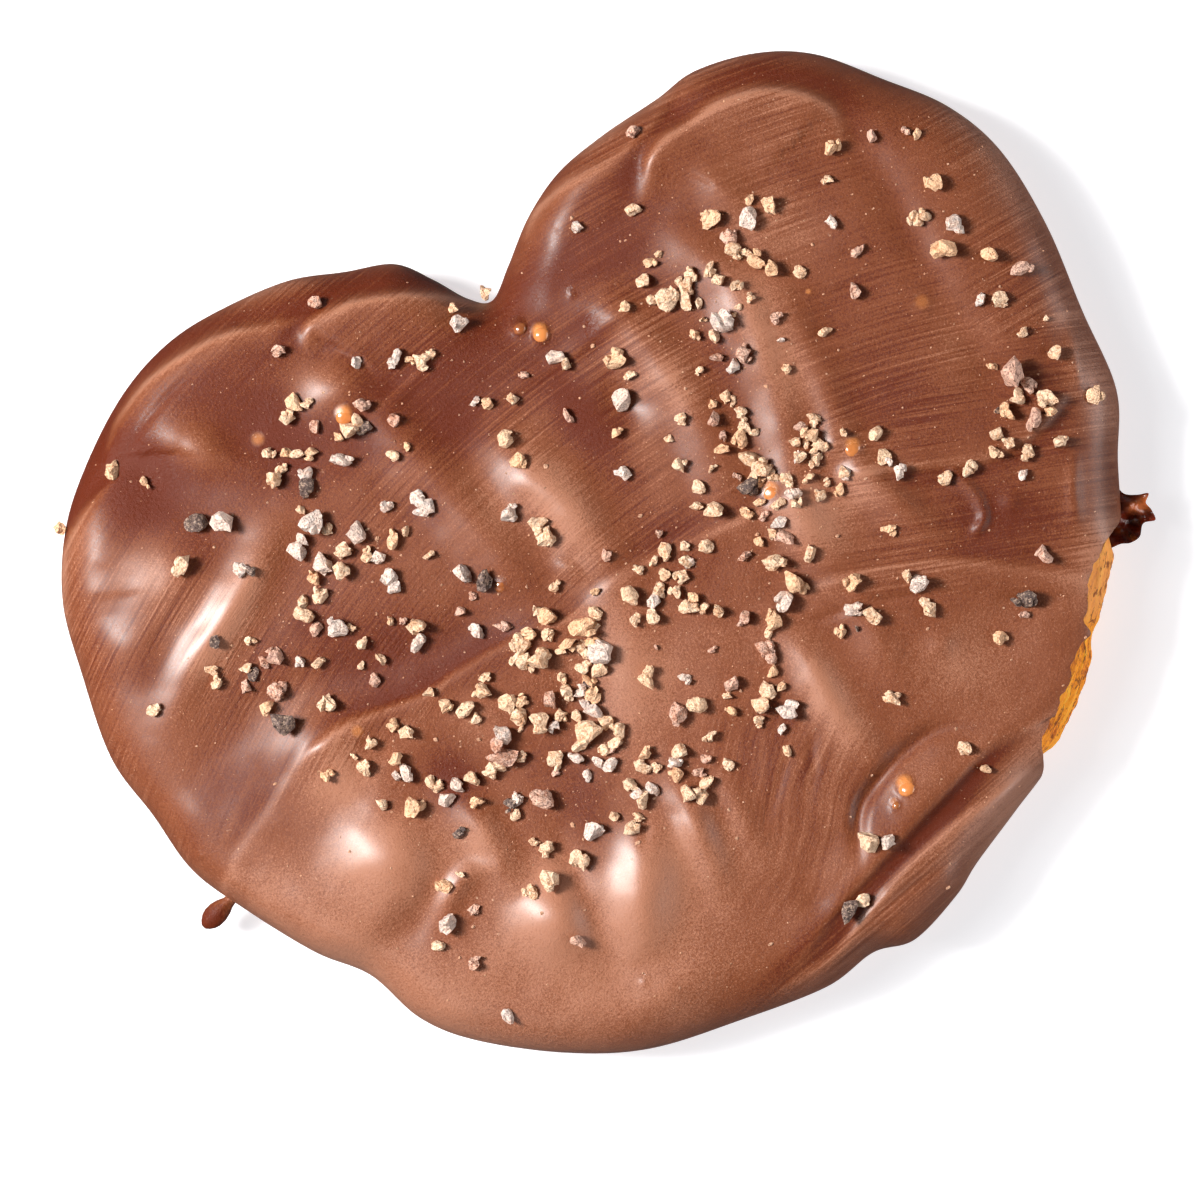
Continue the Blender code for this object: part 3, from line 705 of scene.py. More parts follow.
def store(mesh, name, values):
    """Keeps one value for each point of the mesh, for its material to read."""
    layer = mesh.attributes.new(name, "FLOAT", "POINT")
    layer.data.foreach_set("value", np.asarray(values, np.float32))


print("cells across the top:", 2 * CELLS)

# %% [markdown]
# ## The brushed coat
#
# The coat and the little drip at its left edge are one piece of chocolate. Its mesh is the cap
# and side described above. The mesh also stores three things that its material will read: how
# high each point stands, so that the colour is deeper in the low places, as painted shade; a
# painted highlight along the crest of each step, with painted shade on the slope below it; and a
# smooth map of painted light and shade, paler where the coat faces the light and deeper in the
# shaded hollows and creases.

# %% Make the coat
LIGHT_AND_SHADE_MM = [
    # x, y, two half-widths, turn in degrees, painted light (+) or painted shade (-)
    # broad fields of painted light and shade
    (-3, 43, 13, 7, -10, -0.6), (9, 25, 4, 8, 0, -0.3), (-32, 11, 18, 7, 8, -0.6),
    (-50, -22, 22, 14, -20, 0.5), (-38, -48, 22, 12, -28, 0.7), (-14, -45, 16, 12, 0, 0.75),
    (56, -14, 8, 5, -25, -0.75), (52, 10, 9, 18, 0, -0.25), (66, 56, 9, 8, -50, -0.2),
    (-72, 10, 6, 20, 0, 0.2), (26, -56, 24, 4, 17, 0.3), (10, -12, 14, 8, 0, 0.35),
    (44, -31, 10, 8, 20, 0.7), (40, 35, 18, 16, 0, -0.1), (20, -36, 10, 8, 0, 0.15),
    # painted shade in the two deep creases at the lower right
    (30, -47.5, 20, 1.8, 17, -1.3), (2, -57.5, 9, 1.5, 20, -0.9),
    # painted shade in the quiet hollows between the folds
    (-45, 50, 32, 12, 0, -0.75), (-42, 57, 16, 3.5, 0, -0.35), (-60, 46, 6, 6, 40, -0.9),
    (-20, 38, 16, 8, 0, -0.45), (-56, 34, 5, 4.5, 20, -0.5), (-66, 2, 12, 6, 15, -0.35),
    (-12, 34, 4, 4, 0, -0.8), (5, 28, 3.5, 9, 8, -1.0), (16, 48, 15, 4.5, 0, -0.75),
    (12, 39, 3, 4, 0, -0.8), (28, 25, 2.5, 5, 0, -0.5), (-36, -13, 4, 5, 0, -1.3),
    (-20, -26, 4, 7, 0, -0.6), (-28, 1, 18, 3, 0, -0.55), (20, -45.5, 4, 3, 20, -0.5),
    (-36, 44, 4, 7, 0, -0.5), (28, 56.5, 14, 4, 0, -0.6), (-70, 22, 5, 7, 0, -0.45),
    (-44, 17, 4, 4, 0, -0.4), (-20, 26, 3.5, 4, 0, -0.5), (10, 3, 5, 12, 0, -0.35),
    (68, 1, 5, 4, 0, -0.5), (-68, -4, 7, 7, 0, -0.2), (-47, -33, 9, 4, 20, -0.2),
    # painted light on the rolls and on the rim that faces the light, and painted highlights on the
    # mounds
    (-49, 49, 6, 3.5, -45, 0.8), (-28, 49, 4.5, 4, 0, 0.9), (-62, 34, 5, 4, 0, 0.8),
    (-55, 24, 10, 3, 35, 1.5), (-59, 22, 5, 4, 20, 0.4), (-51, -6, 5, 4, 0, 1.0),
    (-60, -33, 24, 6, -58, 0.8), (36, 26, 3.5, 14, 0, 0.9), (44, 39, 5, 7, 0, 0.8),
    (20, -26, 3.5, 9, 5, 0.9), (-3.6, 17, 4, 10, 0, 1.1), (12, 17, 3, 8, 0, 0.6),
    (30, -1, 6, 6, 0, 1.1), (78, 40, 4, 22, 8, 0.8), (66, -25, 7, 4, 40, 1.2),
    (44, -46, 12, 4, 25, 0.9), (-6, -12, 8, 14, 0, 0.9), (-12, 21, 2.5, 8, 12, 0.5),
    (38, -30, 5, 4, 0, 0.3), (26, 66, 14, 4, 0, 1.2), (-30, 65.5, 9, 3, 0, 0.8),
    (-54, 9, 8, 5, 0, 0.6), (-25, 13, 7, 6, 0, 0.6), (20, 26, 3, 5, 0, 0.7),
    (60, 14, 5, 8, 0, 0.4), (77, 8, 3.5, 6, 0, 0.6), (-28, -7, 4, 4, 0, 0.6),
    (-28, -32, 4, 5, 0, 0.7), (38, 0, 4, 4, 0, 0.5),
    (-51.6, -18.1, 5.5, 5, 0, 0.35), (-33, -36.7, 4.5, 5, 0, 0.4), (-20, -39.7, 3.4, 6, -20, 0.4),
    (-36.7, -23.6, 3, 4, 0, 0.5), (-9.3, -36, 2.6, 4.5, -20, 0.5),
    # painted light on the rim on the far side, and painted shade at the foot of the upper left rolls
    (77, -5, 4, 10, 0, 0.7), (38, -55, 13, 4, 22, 0.8), (-57, 53, 8, 4, -40, -0.6),
    (-4, 50, 5, 3, 0, 0.5),
    # darker on the drip
    (-78, -16, 3, 2.2, 15, -1.6),
]
DRIP_ROOT = np.array((-73.3, -14.3, 6.2))
DRIP_TIP = np.array((-78.9, -16.2, 5.6))


# A map of painted light and shade: paler where the coat faces the light, deeper in the shaded hollows
# and creases.
def painted_light_and_shade(xy):
    q = to_mm(xy)
    total = np.zeros(len(q))
    for x, y, half_x, half_y, turn, amount in LIGHT_AND_SHADE_MM:
        c, s = math.cos(math.radians(turn)), math.sin(math.radians(turn))
        u = (q[:, 0] - x) * c + (q[:, 1] - y) * s
        v = (q[:, 1] - y) * c - (q[:, 0] - x) * s
        total += amount * np.exp(-(u / half_x) ** 2 - (v / half_y) ** 2)
    return total


def add_drip(skin):
    """A thread of chocolate that ran off the edge and set as a bead."""
    shift = np.array((*SHIFT_MM, 0.0))
    root, tip = (DRIP_ROOT - shift) * MM, (DRIP_TIP - shift) * MM
    axis = (tip - root) / np.linalg.norm(tip - root)
    side = np.cross(axis, (0, 0, 1))
    side /= np.linalg.norm(side)
    up = np.cross(side, axis)
    previous = None
    for share, radius in ((-0.35, 1.5), (-0.1, 1.15), (0.1, 0.8), (0.25, 0.95), (0.42, 1.35),
                          (0.6, 1.6), (0.8, 1.6), (0.95, 1.35), (1.07, 0.9), (1.14, 0.45)):
        turn = np.linspace(0, 2 * math.pi, 24, endpoint=False)
        wobble = 1 + 0.06 * np.sin(2 * turn + 3 * share) + 0.04 * np.sin(5 * turn + share)
        centre = root + (tip - root) * share + up * 0.35 * MM * math.sin(2.6 * share)
        ring = (centre + (np.cos(turn) * wobble)[:, None] * side * radius * MM
                + (np.sin(turn) * wobble)[:, None] * up * radius * 0.92 * MM)
        ids = skin.add(ring)
        if previous is None:
            skin.faces.append(ids.tolist())
        else:
            skin.band(previous, ids)
        previous = ids
    skin.faces.append(previous.tolist())


def bare_inset(outer):
    """How far the coat draws back on the bare flank: unevenly, and hardly at all at one spot."""
    turn = heading(outer)
    pinch = np.exp(-((turn + 31.2) / 1.3) ** 2)
    uneven = 1.12 + 0.20 * layered_noise(turn * 0.9, turn * 0 + 4.0) - 0.55 * pinch
    return BARE_INSET * bareness(outer) * uneven


def make_coat():
    skin = Skin()
    outer = evenly(8 * CELLS)
    bare = bareness(outer)
    back = bare_inset(outer)
    rim = skin.cap(drawn_in(outer, back), CELLS, coat_top)
    rim_height = skin.points[0][rim, 2]
    foot = lip_height(outer)
    swell = 0.3 * layered_noise(heading(outer) / 4, heading(outer) * 0)
    previous = rim
    for share in (0.9, 0.8, 0.7, 0.6, 0.5, 0.4, 0.3, 0.22, 0.15, 0.09, 0.04, 0.0):
        draw = 0.9 * (1 - share) ** 2 * (1 - bare) + swell * (1 - share) * share
        under = 0.45 * max(0.0, 1 - share / 0.06) ** 1.5
        height = foot + (rim_height - foot) * share
        ring = drawn_in(outer, back + (draw + under) * MM)
        ids = skin.add(np.column_stack([ring, height]))
        skin.band(previous, ids)
        previous = ids
    for inset, rise in ((1.0, -0.05), (1.5, 0.3), (1.6, 1.2)):
        ring = drawn_in(outer, back + (inset + 0.6 * (1 - bare)) * MM)
        ids = skin.add(np.column_stack([ring, foot + rise * MM]))
        skin.band(previous, ids)
        previous = ids
    skin.faces.append(previous.tolist())
    add_drip(skin)
    return skin.to_object("chocolate_coat_brushed")


coat = make_coat()
coat_points = np.array([v.co for v in coat.data.vertices])
coat_relief, coat_crest_light_shade = relief(coat_points[:, :2])
# Stored height: the colour is deeper in the low places, as painted shade.
store(coat.data, "height", coat_relief / 2.5)
# The painted highlight on the step crests and the painted shade below them.
store(coat.data, "crest_light_shade", coat_crest_light_shade)
# The map of painted light and shade, for the colour and the gloss.
store(coat.data, "light_shade", painted_light_and_shade(coat_points[:, :2]))
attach(coat, "root")
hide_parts("chocolate_coat")
print("coat faces:", len(coat.data.polygons))

# %% [markdown]
# ## Milk chocolate
#
# Set milk chocolate is a soft brown with a waxy sheen. Three browns are mixed by the height, deeper
# in the low places as painted shade, by the map of painted light and shade, by the painted highlight
# and shade at the crests, and by slow noise. The brush left long fine lines that follow the sweep of
# the arm: arcs over the upper half, slanting strokes below. Noise stretched along each direction
# makes them, in both the colour and the bump, and broad soft windows decide where each direction
# rules. The bubbles glow amber, as a thin skin of chocolate does over a hollow.

# %% Chocolate material
DEEP = (0.098, 0.0135, 0.0024)
MIDDLE = (0.182, 0.048, 0.0155)
PALE = (0.345, 0.140, 0.078)


def stroke_sets(paint, x, y):
    """Brush lines by area: pairs of a window and stretched noise, each about 0 to 1."""
    def slanted(turn, along=0.035, across=2.3, bend=0.0):
        c, s = math.cos(math.radians(turn)), math.sin(math.radians(turn))
        u, v = x * c + y * s, y * c - x * s
        if bend:
            v = v + paint.noise(paint.vector(u * 0.05, v * 0.05, 3.0), 1.0, 1.0) * bend
        return paint.noise(paint.vector(u * along, v * across, 0.0), 1.0, 6.0, 0.68)

    def swept(cx, cy, along=0.03, across=2.1):
        dx, dy = x - cx, y - cy
        far = (dx * dx + dy * dy).math("SQRT")
        turn = dx.math("ARCTAN2", dy)
        return paint.noise(paint.vector(turn * (along * 150), far * across, 7.0), 1.0, 6.0, 0.68)

    upper = (y - x * 0.12).step(-1.0, 3.5)
    right = x.step(61.0, 66.0)
    low = 1 - upper
    middle_right = low * (x * 0.34 + y).step(-9.0, -2.0) * x.step(16.0, 28.0)
    rim = (x * -0.30 + y).step(-57.0, -60.0) * low
    rest = low * (1 - middle_right) * (1 - rim)
    ripple = ((x - 7.0) / 13.0).bell() * ((y + 37.0) / 13.0).bell() * 1.0 + 0.15
    calm = ((1 - ((x + 50.0) / 26.0).bell() * ((y - 48.0) / 20.0).bell() * 0.85)
            * (1 - ((x + 68.0) / 14.0).bell() * ((y - 2.0) / 14.0).bell() * 0.6)
            * (1 + ((x + 60.0) / 13.0).bell() * ((y - 21.0) / 9.0).bell() * 1.3))
    return [(upper * (1 - right) * calm, swept(30.0, -115.0)), (upper * right, slanted(4.0)),
            (middle_right, slanted(-17.0)), (rim * 0.7, slanted(15.0)),
            (rest * ripple, slanted(43.0, 0.045, 0.9, 9.0))]


def amber_spots(paint, x, y):
    """1 on the warm side of each thin bubble, and 1 over the whole of each bubble."""
    glow, dome = None, None
    for cx, cy, radius, _, amber in BUBBLES_MM:
        gap = ((x - cx) * (x - cx) + (y - cy) * (y - cy)).math("SQRT")
        disc = gap.step(radius * 1.02, radius * 0.8)
        dome = disc if dome is None else dome.math("MAXIMUM", disc)
        if amber > 0.25:
            lit = gap.step(radius, radius * 0.25) * amber
            glow = lit if glow is None else glow.math("MAXIMUM", lit)
    return glow, dome


def paint_chocolate():
    paint = Paint("milk_chocolate_brushed", Specular_IOR_Level=0.20, IOR=1.48,
                  Coat_Roughness=0.36, Coat_IOR=1.5)
    point, x, y, z = paint.place()
    lines = None
    for window, noise in stroke_sets(paint, x, y):
        part = window * (noise - 0.5)
        lines = part if lines is None else lines + part
    lines = lines * z.step(10.0, 14.0)
    height, crest_light_shade = paint.stored("height"), paint.stored("crest_light_shade")
    light_shade = paint.stored("light_shade")
    clouds = paint.noise(point, 0.11, 3.0, 0.55) - 0.5
    patchy = paint.noise(point, 0.045, 2.0).step(0.35, 0.65)
    grit = paint.noise(point, 3.6, 3.0, 0.8) - 0.5
    # Colour level: deeper in the low places as painted shade, paler at the crests' painted highlight,
    # plus the map of painted light and shade.
    level = (light_shade * 0.60 + height * 0.34 + crest_light_shade * 0.62 + clouds * 0.5
             + lines * (patchy * 2.5 + 0.45) + grit * 2.1 + 0.36)
    brown = paint.blend(level.step(-0.1, 0.5), DEEP, MIDDLE)
    brown = paint.blend(level.step(0.45, 1.15), brown, PALE)
    fleck = paint.noise(point, 1.5, 2.0, 0.6).step(0.70, 0.75)
    brown = paint.blend(fleck * 0.25, brown, (0.50, 0.30, 0.20))
    glow, dome = amber_spots(paint, x, y)
    brown = paint.blend(glow, brown, (0.62, 0.22, 0.055))
    paint.set("Base Color", brown)
    smooth = 0.42 + grit * 0.30 + lines * 0.25 - dome * 0.26
    paint.set("Roughness", smooth.math("MAXIMUM", 0.12).math("MINIMUM", 0.7))
    paint.set("Coat Weight", (light_shade * 0.50 + crest_light_shade * 0.3 + dome * 0.7 - grit * 1.2 + 0.50).clamp())
    coarse = paint.bump(lines, 0.16 * MM, 1.0)
    fine = paint.bump(paint.noise(point, 2.4, 3.0, 0.8), 0.19 * MM, 1.0, coarse)
    paint.set("Normal", fine)
    return paint.material


coat.data.materials.append(paint_chocolate())
print("chocolate nodes:", len(coat.data.materials[0].node_tree.nodes))

# %% [markdown]
# ## The baked core
#
# Under the coat is the palmier itself, golden and layered. It shows on the bare flank, where the
# coat stopped short, as a ragged strip in two bites, and again all round the foot and on the
# underside. The wall is a fine band of rings. Each baked layer gets its own small overhang, and
# crumbling noise breaks the edges, more on the bare flank than where chocolate covers it.

# %% Make the baked core
LAYER = 1.15            # thickness of one baked layer, millimetres
CORE_TOP = 14.0 * MM
BASE_INSET = 1.2 * MM
SIDE_ROOM = 2.4 * MM    # the coat's thickness where it covers the wall


def layering(outer, z):
    """How ragged the stack of baked layers is at height z, in millimetres."""
    mm = z / MM
    turn = heading(outer)
    layer = mm / LAYER + 0.5 * value_noise(turn / 9, turn * 0 + 2.0)
    lap = np.abs((layer % 1.0) - 0.5) * 2
    own = value_noise(turn / 3.1 + 31 * np.floor(layer), np.floor(layer) * 1.7)
    crumb = layered_noise(turn * 1.3, turn * 0 + mm * 1.1)
    return 0.42 * lap + 0.42 * own + 0.34 * crumb


def core_row(outer, bare, share):
    """Inset and height of one ring of the wall, from the foot at 0 to the top at 1."""
    turn = heading(outer)
    z = CORE_TOP * share
    ragged = layering(outer, z)
    mm = z / MM
    foot = BASE_INSET / MM * max(0.0, 1 - mm / 1.6) ** 2
    low = smoothstep((LIP_HEIGHT / MM + 0.6 - mm) / 1.2)
    covered = (SIDE_ROOM / MM + 0.25 * ragged) * (1 - low) + (1.5 + 0.4 * ragged) * low
    bend = max(0.0, share - 0.42) / 0.58
    pinch = 0.7 * np.exp(-((turn + 31.4) / 1.5) ** 2)
    shown = 0.2 + 0.9 * (1 - min(mm / 6.0, 1.0)) ** 2 + 3.6 * bend ** 2.2 + 0.6 * ragged + pinch
    inset = bare * shown + (1 - bare) * covered + foot
    return np.maximum(inset, 0.1) * MM, np.full(len(outer), z)


def make_core():
    skin = Skin()
    count = 1400
    outer = evenly(count)
    bare = bareness(outer, 1.0)
    previous = None
    rows = 50
    for k in range(rows + 1):
        inset, height = core_row(outer, bare, k / rows)
        ids = skin.add(np.column_stack([drawn_in(outer, inset), height]))
        if previous is None:
            skin.faces.append(ids.tolist())
        else:
            skin.band(previous, ids)
        previous = ids
    skin.faces.append(previous.tolist())
    return skin.to_object("baked_core_layered")


core = make_core()
core_points = np.array([v.co for v in core.data.vertices])
store(core.data, "depth", nearest(OUTLINE_LOOP, core_points[:, :2])[0] / MM)
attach(core, "root")
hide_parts("pastry")
print("core faces:", len(core.data.polygons))

# %% [markdown]
# ## Browned puff pastry
#
# The cut layers run from straw yellow to deep caramel: butter and sugar browned the edges, while
# the hollows stayed pale. Colour follows the height in thin bands with crumbly noise, and the
# strip's upper part is paler and pinker, as on the real one. Underneath, the scroll of the
# rolled strip shows as soft bands that follow the outline.

# %% Pastry material
def paint_pastry():
    paint = Paint("baked_pastry_layers", Specular_IOR_Level=0.25, IOR=1.45)
    point, x, y, z = paint.place()
    ragged = paint.noise(point, 0.55, 4.0, 0.65) - 0.5
    crumb = paint.noise(point, 1.9, 4.0, 0.7) - 0.5
    layer = paint.noise(paint.vector(x * 0.16, y * 0.16, z * 1.35), 1.0, 4.0, 0.6) - 0.5
    scroll = paint.stored("depth") * 0.42 + ragged * 1.6
    underside = z.step(1.6, 0.4)
    rings = (scroll * 6.2832 * 0.36).math("SINE") * 0.5 + 0.5
    level = (layer * 2.2 + crumb * 0.9 + ragged * 0.9 + 0.52) * (1 - underside) \
        + (rings * 0.55 + crumb * 0.7 + ragged * 0.6 + 0.18) * underside
    bake = paint.blend(level.step(0.0, 0.55), (0.52, 0.10, 0.006), (1.0, 0.34, 0.008))
    bake = paint.blend(level.step(0.5, 1.05), bake, (1.0, 0.52, 0.035))
    pink = (y + x * 0.1).step(-30.0, -26.0) * x.step(40.0, 50.0)
    bake = paint.blend(pink * 0.6, bake, (0.88, 0.36, 0.11))
    scorch = paint.noise(paint.vector(x * 0.5, y * 0.5, z * 1.6), 1.0, 4.0, 0.65).step(0.53, 0.61)
    bake = paint.blend(scorch * 0.85, bake, (0.20, 0.035, 0.005))
    paint.set("Base Color", bake)
    paint.set("Roughness", 0.55 + crumb * 0.3)
    coarse = paint.bump(layer, 0.5 * MM, 0.9)
    paint.set("Normal", paint.bump(crumb, 0.25 * MM, 0.9, coarse))
    return paint.material


core.data.materials.append(paint_pastry())
print("pastry nodes:", len(core.data.materials[0].node_tree.nodes))

# %% [markdown]
# ## The burnt flake
#
# Sugar that ran out of the layers in the oven set as a curled glassy shard on the right flank.
# It is a thin plate with a torn edge, cut from a fan of points and lifted at its tips, so that
# its glossy surface catches the light in broken streaks.

# %% Make the flake
FLAKE_MM = [(67.5, -17.0), (71.0, -16.2), (73.2, -16.6), (74.0, -18.6), (75.6, -19.6),
            (77.1, -20.1), (76.2, -21.2), (76.6, -22.6), (76.4, -24.2), (74.6, -23.9),
            (73.2, -25.4), (71.6, -25.7), (70.2, -25.2), (67.2, -24.2)]


def make_flake():
    """A torn plate with two sides, folded along its length."""
    edge = spline(FLAKE_MM, closed=True, steps=6) - SHIFT_MM
    middle = edge.mean(axis=0)
    skin = Skin()
    shares = np.linspace(1.0, 0.06, 12)

    def height(xy, side):
        q = xy - middle
        curl = 0.055 * (q[:, 0] + 1.0) ** 2 * np.where(q[:, 0] > -1, 1, 0.3)
        fold = 0.75 * np.sin(q[:, 1] * 1.25 + 0.4) + 0.35 * np.sin(q[:, 0] * 1.9 + q[:, 1] * 1.1)
        rough = 0.35 * layered_noise(xy[:, 0] * 1.1, xy[:, 1] * 1.1)
        out = np.hypot(q[:, 0], q[:, 1]) / 5.0
        thick = 0.55 * np.clip(1.15 - out, 0.12, 1.0)
        return 6.8 + curl + fold + rough + side * thick

    rims = []
    for side in (1, -1):
        previous = None
        for share in shares:
            xy = middle + (edge - middle) * share
            ids = skin.add(np.column_stack([xy, height(xy, side)]) * MM)
            if previous is None:
                rims.append(ids)
            else:
                skin.band(previous, ids)
            previous = ids
        skin.faces.append(previous.tolist())
    skin.band(*rims)
    return skin.to_object("burnt_sugar_flake", 50.0)


def paint_flake():
    paint = Paint("burnt_sugar_glassy", Specular_IOR_Level=0.4, IOR=1.5, Coat_Roughness=0.12,
                  Coat_Weight=0.35)
    point, x, y, _ = paint.place()
    cloud = paint.noise(point, 0.45, 4.0, 0.6) - 0.5
    # The amber streak is a painted glow of light through the glassy sugar, over the flake's own dark
    # red-brown.
    amber_glow_streak = ((y + 21.6 + (x - 74.0) * 0.25 + cloud * 1.6) * 1.1).bell() * x.step(72.4, 74.4)
    colour = paint.blend((cloud * 2.6 + 0.45).clamp(), (0.030, 0.0028, 0.0010), (0.22, 0.022, 0.004))
    colour = paint.blend(amber_glow_streak * 0.95, colour, (0.80, 0.20, 0.05))
    paint.set("Base Color", colour)
    paint.set("Roughness", 0.22 + cloud * 0.2)
    paint.set("Normal", paint.bump(paint.noise(point, 0.9, 3.0), 0.4 * MM, 0.8))
    return paint.material


flake = make_flake()
flake.data.materials.append(paint_flake())
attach(flake, "root")
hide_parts("caramel_flake")
print("flake faces:", len(flake.data.polygons))

# %% [markdown]
# ## Chopped nuts
#
# Roasted nuts break into blunt, angular crumbs. Each crumb starts as a round mesh, is cut by a
# handful of random planes and gets a little roughness. They were thrown by hand, so they lie in
# drifts and rows, and that arrangement is part of this very piece. Their places are therefore
# listed, by kind: golden crumbs, pale ones, rosy ones with some skin left, and a few dark ones.
# A ray cast down onto the coat finds the height and the slope where each of them sank in.

